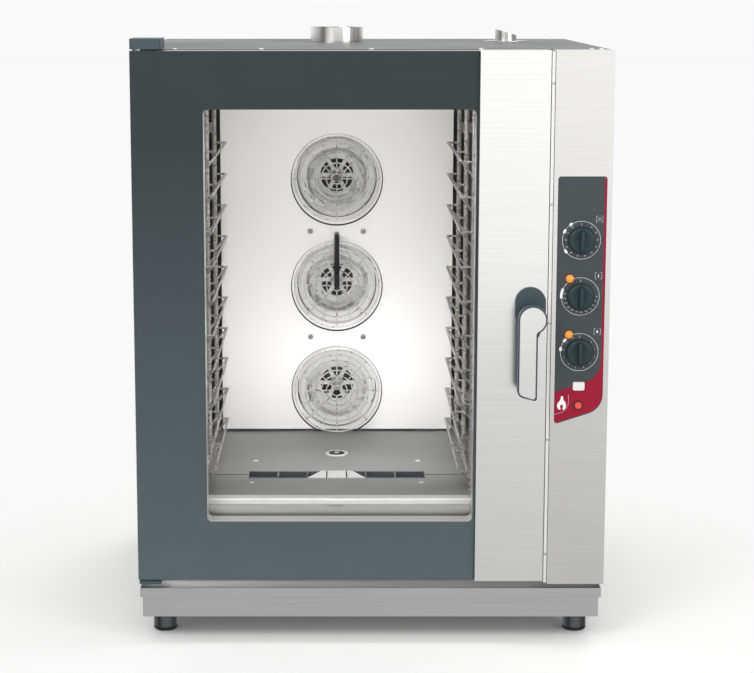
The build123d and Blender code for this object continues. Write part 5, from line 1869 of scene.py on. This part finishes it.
# ---- Studio -----------------------------------------------------------------
@dataclass
class Studio:
    """Floor, surroundings, lamps and camera."""

    distance: float = 3.539
    eye_x: float = -0.0624
    eye_height: float = 1.294
    lens: float = 87.95
    pitch: float = 9.11
    shift: Flat = (0.05, -0.07)
    backdrop: float = 0.95
    floor_colour: Point = (0.92, 0.92, 0.917)
    floor_size: float = 30.0
    floor_fade: Flat = (0.50, 1.25)
    soft_light: Point = (0.74, 0.74, 0.735)
    slim_lamp: Flat = (0.42, 0.03)
    slim_lamp_inset: float = 0.01
    ceiling_drop: float = 0.02
    ceiling_aim: float = 0.2
    sill_rise: float = 0.14
    sill_aim: float = 0.13
    room_stops: tuple[Flat, ...] = (
        (0.0, 0.36), (0.30, 0.50), (0.345, 0.56), (0.42, 0.80),
        (0.485, 1.0), (0.60, 1.0), (0.66, 0.85), (1.0, 0.75)
    )
    card_stops: tuple[Flat, ...] = (
        (0.0, 1.0), (0.08, 0.90), (0.167, 0.12), (0.25, 0.70), (0.34, 1.0), (0.50, 1.0),
        (0.61, 0.80), (0.69, 0.40), (0.76, 0.36), (0.82, 0.60), (0.89, 1.0), (1.0, 1.0)
    )

    def build(self) -> None:
        """Builds the whole studio."""
        self.floor()
        self.world()
        self.lamps()
        self.camera()

    def floor(self) -> None:
        """Lays the pale floor, which fades into the white round it."""
        work = bmesh.new()
        bmesh.ops.create_grid(work, x_segments=1, y_segments=1, size=self.floor_size)
        plane = bpy.data.objects.new("floor", finished(work))
        bpy.context.scene.collection.objects.link(plane)
        plane.data.materials.append(self.floor_material())
        plane.visible_glossy = False

    def floor_material(self) -> bpy.types.Material:
        """Makes the floor's material.

        Returns:
            Matt white near the oven, pure white for the eye further off.
        """
        board = Board("studio_floor")
        board.shader.inputs["Base Color"].default_value = (*self.floor_colour, 1.0)
        board.shader.inputs["Roughness"].default_value = 0.8
        board.shader.inputs["Specular IOR Level"].default_value = 0.0
        place = board.add("ShaderNodeTexCoord")
        away = board.calculate("LENGTH", place.outputs["Object"], vector=True)
        fade = board.spread(away.outputs["Value"], 0.0, 1.0, *self.floor_fade)
        seen = board.calculate("MULTIPLY", fade, board.looked_at())
        white = board.add("ShaderNodeEmission", Color=(*WHITE, 1.0), Strength=self.backdrop)
        surface = board.choose(seen.outputs["Value"], board.shader.outputs["BSDF"], white.outputs["Emission"])
        board.join(surface, board.tree.nodes["Material Output"].inputs["Surface"])
        return board.material

    def world(self) -> None:
        """Makes the surroundings: a pale room to the eye, steel and glass, and soft light."""
        world = bpy.data.worlds.new("studio")
        bpy.context.scene.world = world
        world.use_nodes = True
        world.node_tree.nodes.clear()
        room = Wiring(world.node_tree)
        way = room.add("ShaderNodeSeparateXYZ")
        room.join(room.add("ShaderNodeTexCoord").outputs["Generated"], way.inputs["Vector"])
        height = room.spread(way.outputs["Z"], 0.0, 1.0, -1.0, 1.0)
        turn = room.calculate("ARCTAN2", way.outputs["X"], way.outputs["Y"])
        around = room.spread(turn.outputs["Value"], 0.0, 1.0, -math.pi, math.pi)
        walls = self.greys(room, height, self.room_stops)
        cards = self.greys(room, around, self.card_stops)
        eye = room.add("ShaderNodeLightPath").outputs["Is Camera Ray"]
        plain = room.calculate("MAXIMUM", cards, eye, vector=True).outputs["Vector"]
        colour = room.calculate("MULTIPLY", walls, plain, vector=True).outputs["Vector"]
        soft = room.add("ShaderNodeBackground", Color=(*self.soft_light, 1.0))
        seen = room.add("ShaderNodeBackground", Strength=self.backdrop)
        room.join(colour, seen.inputs["Color"])
        surface = room.choose(room.looked_at(), soft.outputs["Background"], seen.outputs["Background"])
        room.join(surface, room.add("ShaderNodeOutputWorld").inputs["Surface"])

    def greys(self, room: Wiring, value: Socket, stops: tuple[Flat, ...]) -> Socket:
        """Adds a ramp of greys over a value.

        Args:
            room: the world's node tree.
            value: the socket to read, from 0 to 1.
            stops: places on the ramp, each with its level.

        Returns:
            The socket with the grey.
        """
        return room.ramp(value, tuple((place, scaled(WHITE, level)) for place, level in stops))

    def lamp(self, name: str, place: Point, aim: Point, size: Flat, power: float) -> bpy.types.Object:
        """Hangs one soft lamp.

        Args:
            name: its name.
            place: where it hangs.
            aim: the point that it faces.
            size: its width and height.
            power: its power in watts.

        Returns:
            The lamp.
        """
        data = bpy.data.lights.new(name, "AREA")
        data.shape = "RECTANGLE"
        data.size, data.size_y = size
        data.energy = power
        obj = bpy.data.objects.new(name, data)
        bpy.context.scene.collection.objects.link(obj)
        obj.location = place
        way = Vector(aim) - Vector(place)
        obj.rotation_euler = way.to_track_quat("-Z", "Y").to_euler()
        return obj

    def lamps(self) -> None:
        """Hangs the soft lamps round the oven and those that light the cavity."""
        self.lamp("key_lamp", (-1.9, -3.0, 2.9), (0.0, 0.0, 0.7), (1.8, 1.8), 60.0)
        self.lamp("fill_lamp", (2.4, -2.4, 1.8), (0.0, 0.0, 0.6), (1.6, 1.6), 28.0)
        rear = self.lamp("rear_lamp", (1.2, 3.0, 2.4), (0.0, 0.0, 0.7), (2.0, 1.6), 45.0)
        rear.visible_glossy = False
        card = self.lamp("front_card", (0.2, -2.2, 1.0), (0.2, 0.0, 1.0), (1.8, 1.3), 1.1)
        card.visible_camera = False
        mouth = opening("oven_cavity")
        x, front, back = mouth.middle.x, mouth.low.y + self.slim_lamp_inset, mouth.high.y
        low, high = mouth.low.z, mouth.high.z
        ceiling, far_low = (x, front, high - self.ceiling_drop), (x, back, low + self.ceiling_aim)
        self.cavity_lamp("cavity_lamp", ceiling, far_low, 2.7, 180.0)
        sill, far_sill = (x, front, low + self.sill_rise), (x, back, low + self.sill_aim)
        self.cavity_lamp("sill_lamp", sill, far_sill, 1.1, 115.0)

    def cavity_lamp(self, name: str, place: Point, aim: Point, power: float, spread: float) -> None:
        """Hangs a slim lamp in the cavity that is itself out of sight.

        Args:
            name: its name.
            place: where it hangs.
            aim: the point that it faces.
            power: its power in watts.
            spread: the angle of its beam in degrees.
        """
        lamp = self.lamp(name, place, aim, self.slim_lamp, power)
        lamp.data.spread = math.radians(spread)
        lamp.visible_camera = False
        lamp.visible_glossy = False

    def camera(self) -> None:
        """Places the camera in front of the door, looking slightly down."""
        data = bpy.data.cameras.new("camera")
        data.lens = self.lens
        data.sensor_width = 36.0
        data.shift_x, data.shift_y = self.shift
        obj = bpy.data.objects.new("camera", data)
        bpy.context.scene.collection.objects.link(obj)
        front = where("door_outer_glass").low.y
        obj.location = (self.eye_x, front - self.distance, self.eye_height)
        obj.rotation_euler = (math.radians(90.0 - self.pitch), 0.0, 0.0)
        bpy.context.scene.camera = obj


def main() -> None:
    """Builds the oven's looks in order, then the studio."""
    logging.basicConfig(level=logging.INFO, format="%(message)s")
    bpy.context.scene.view_settings.view_transform = "Standard"
    for part in (Casing(), Services(), Cavity(), FanSet(), Door(), Controls()):
        part.dress()
        part.build()
    Racks().build()
    Studio().build()


if __name__ == "__main__":
    main()
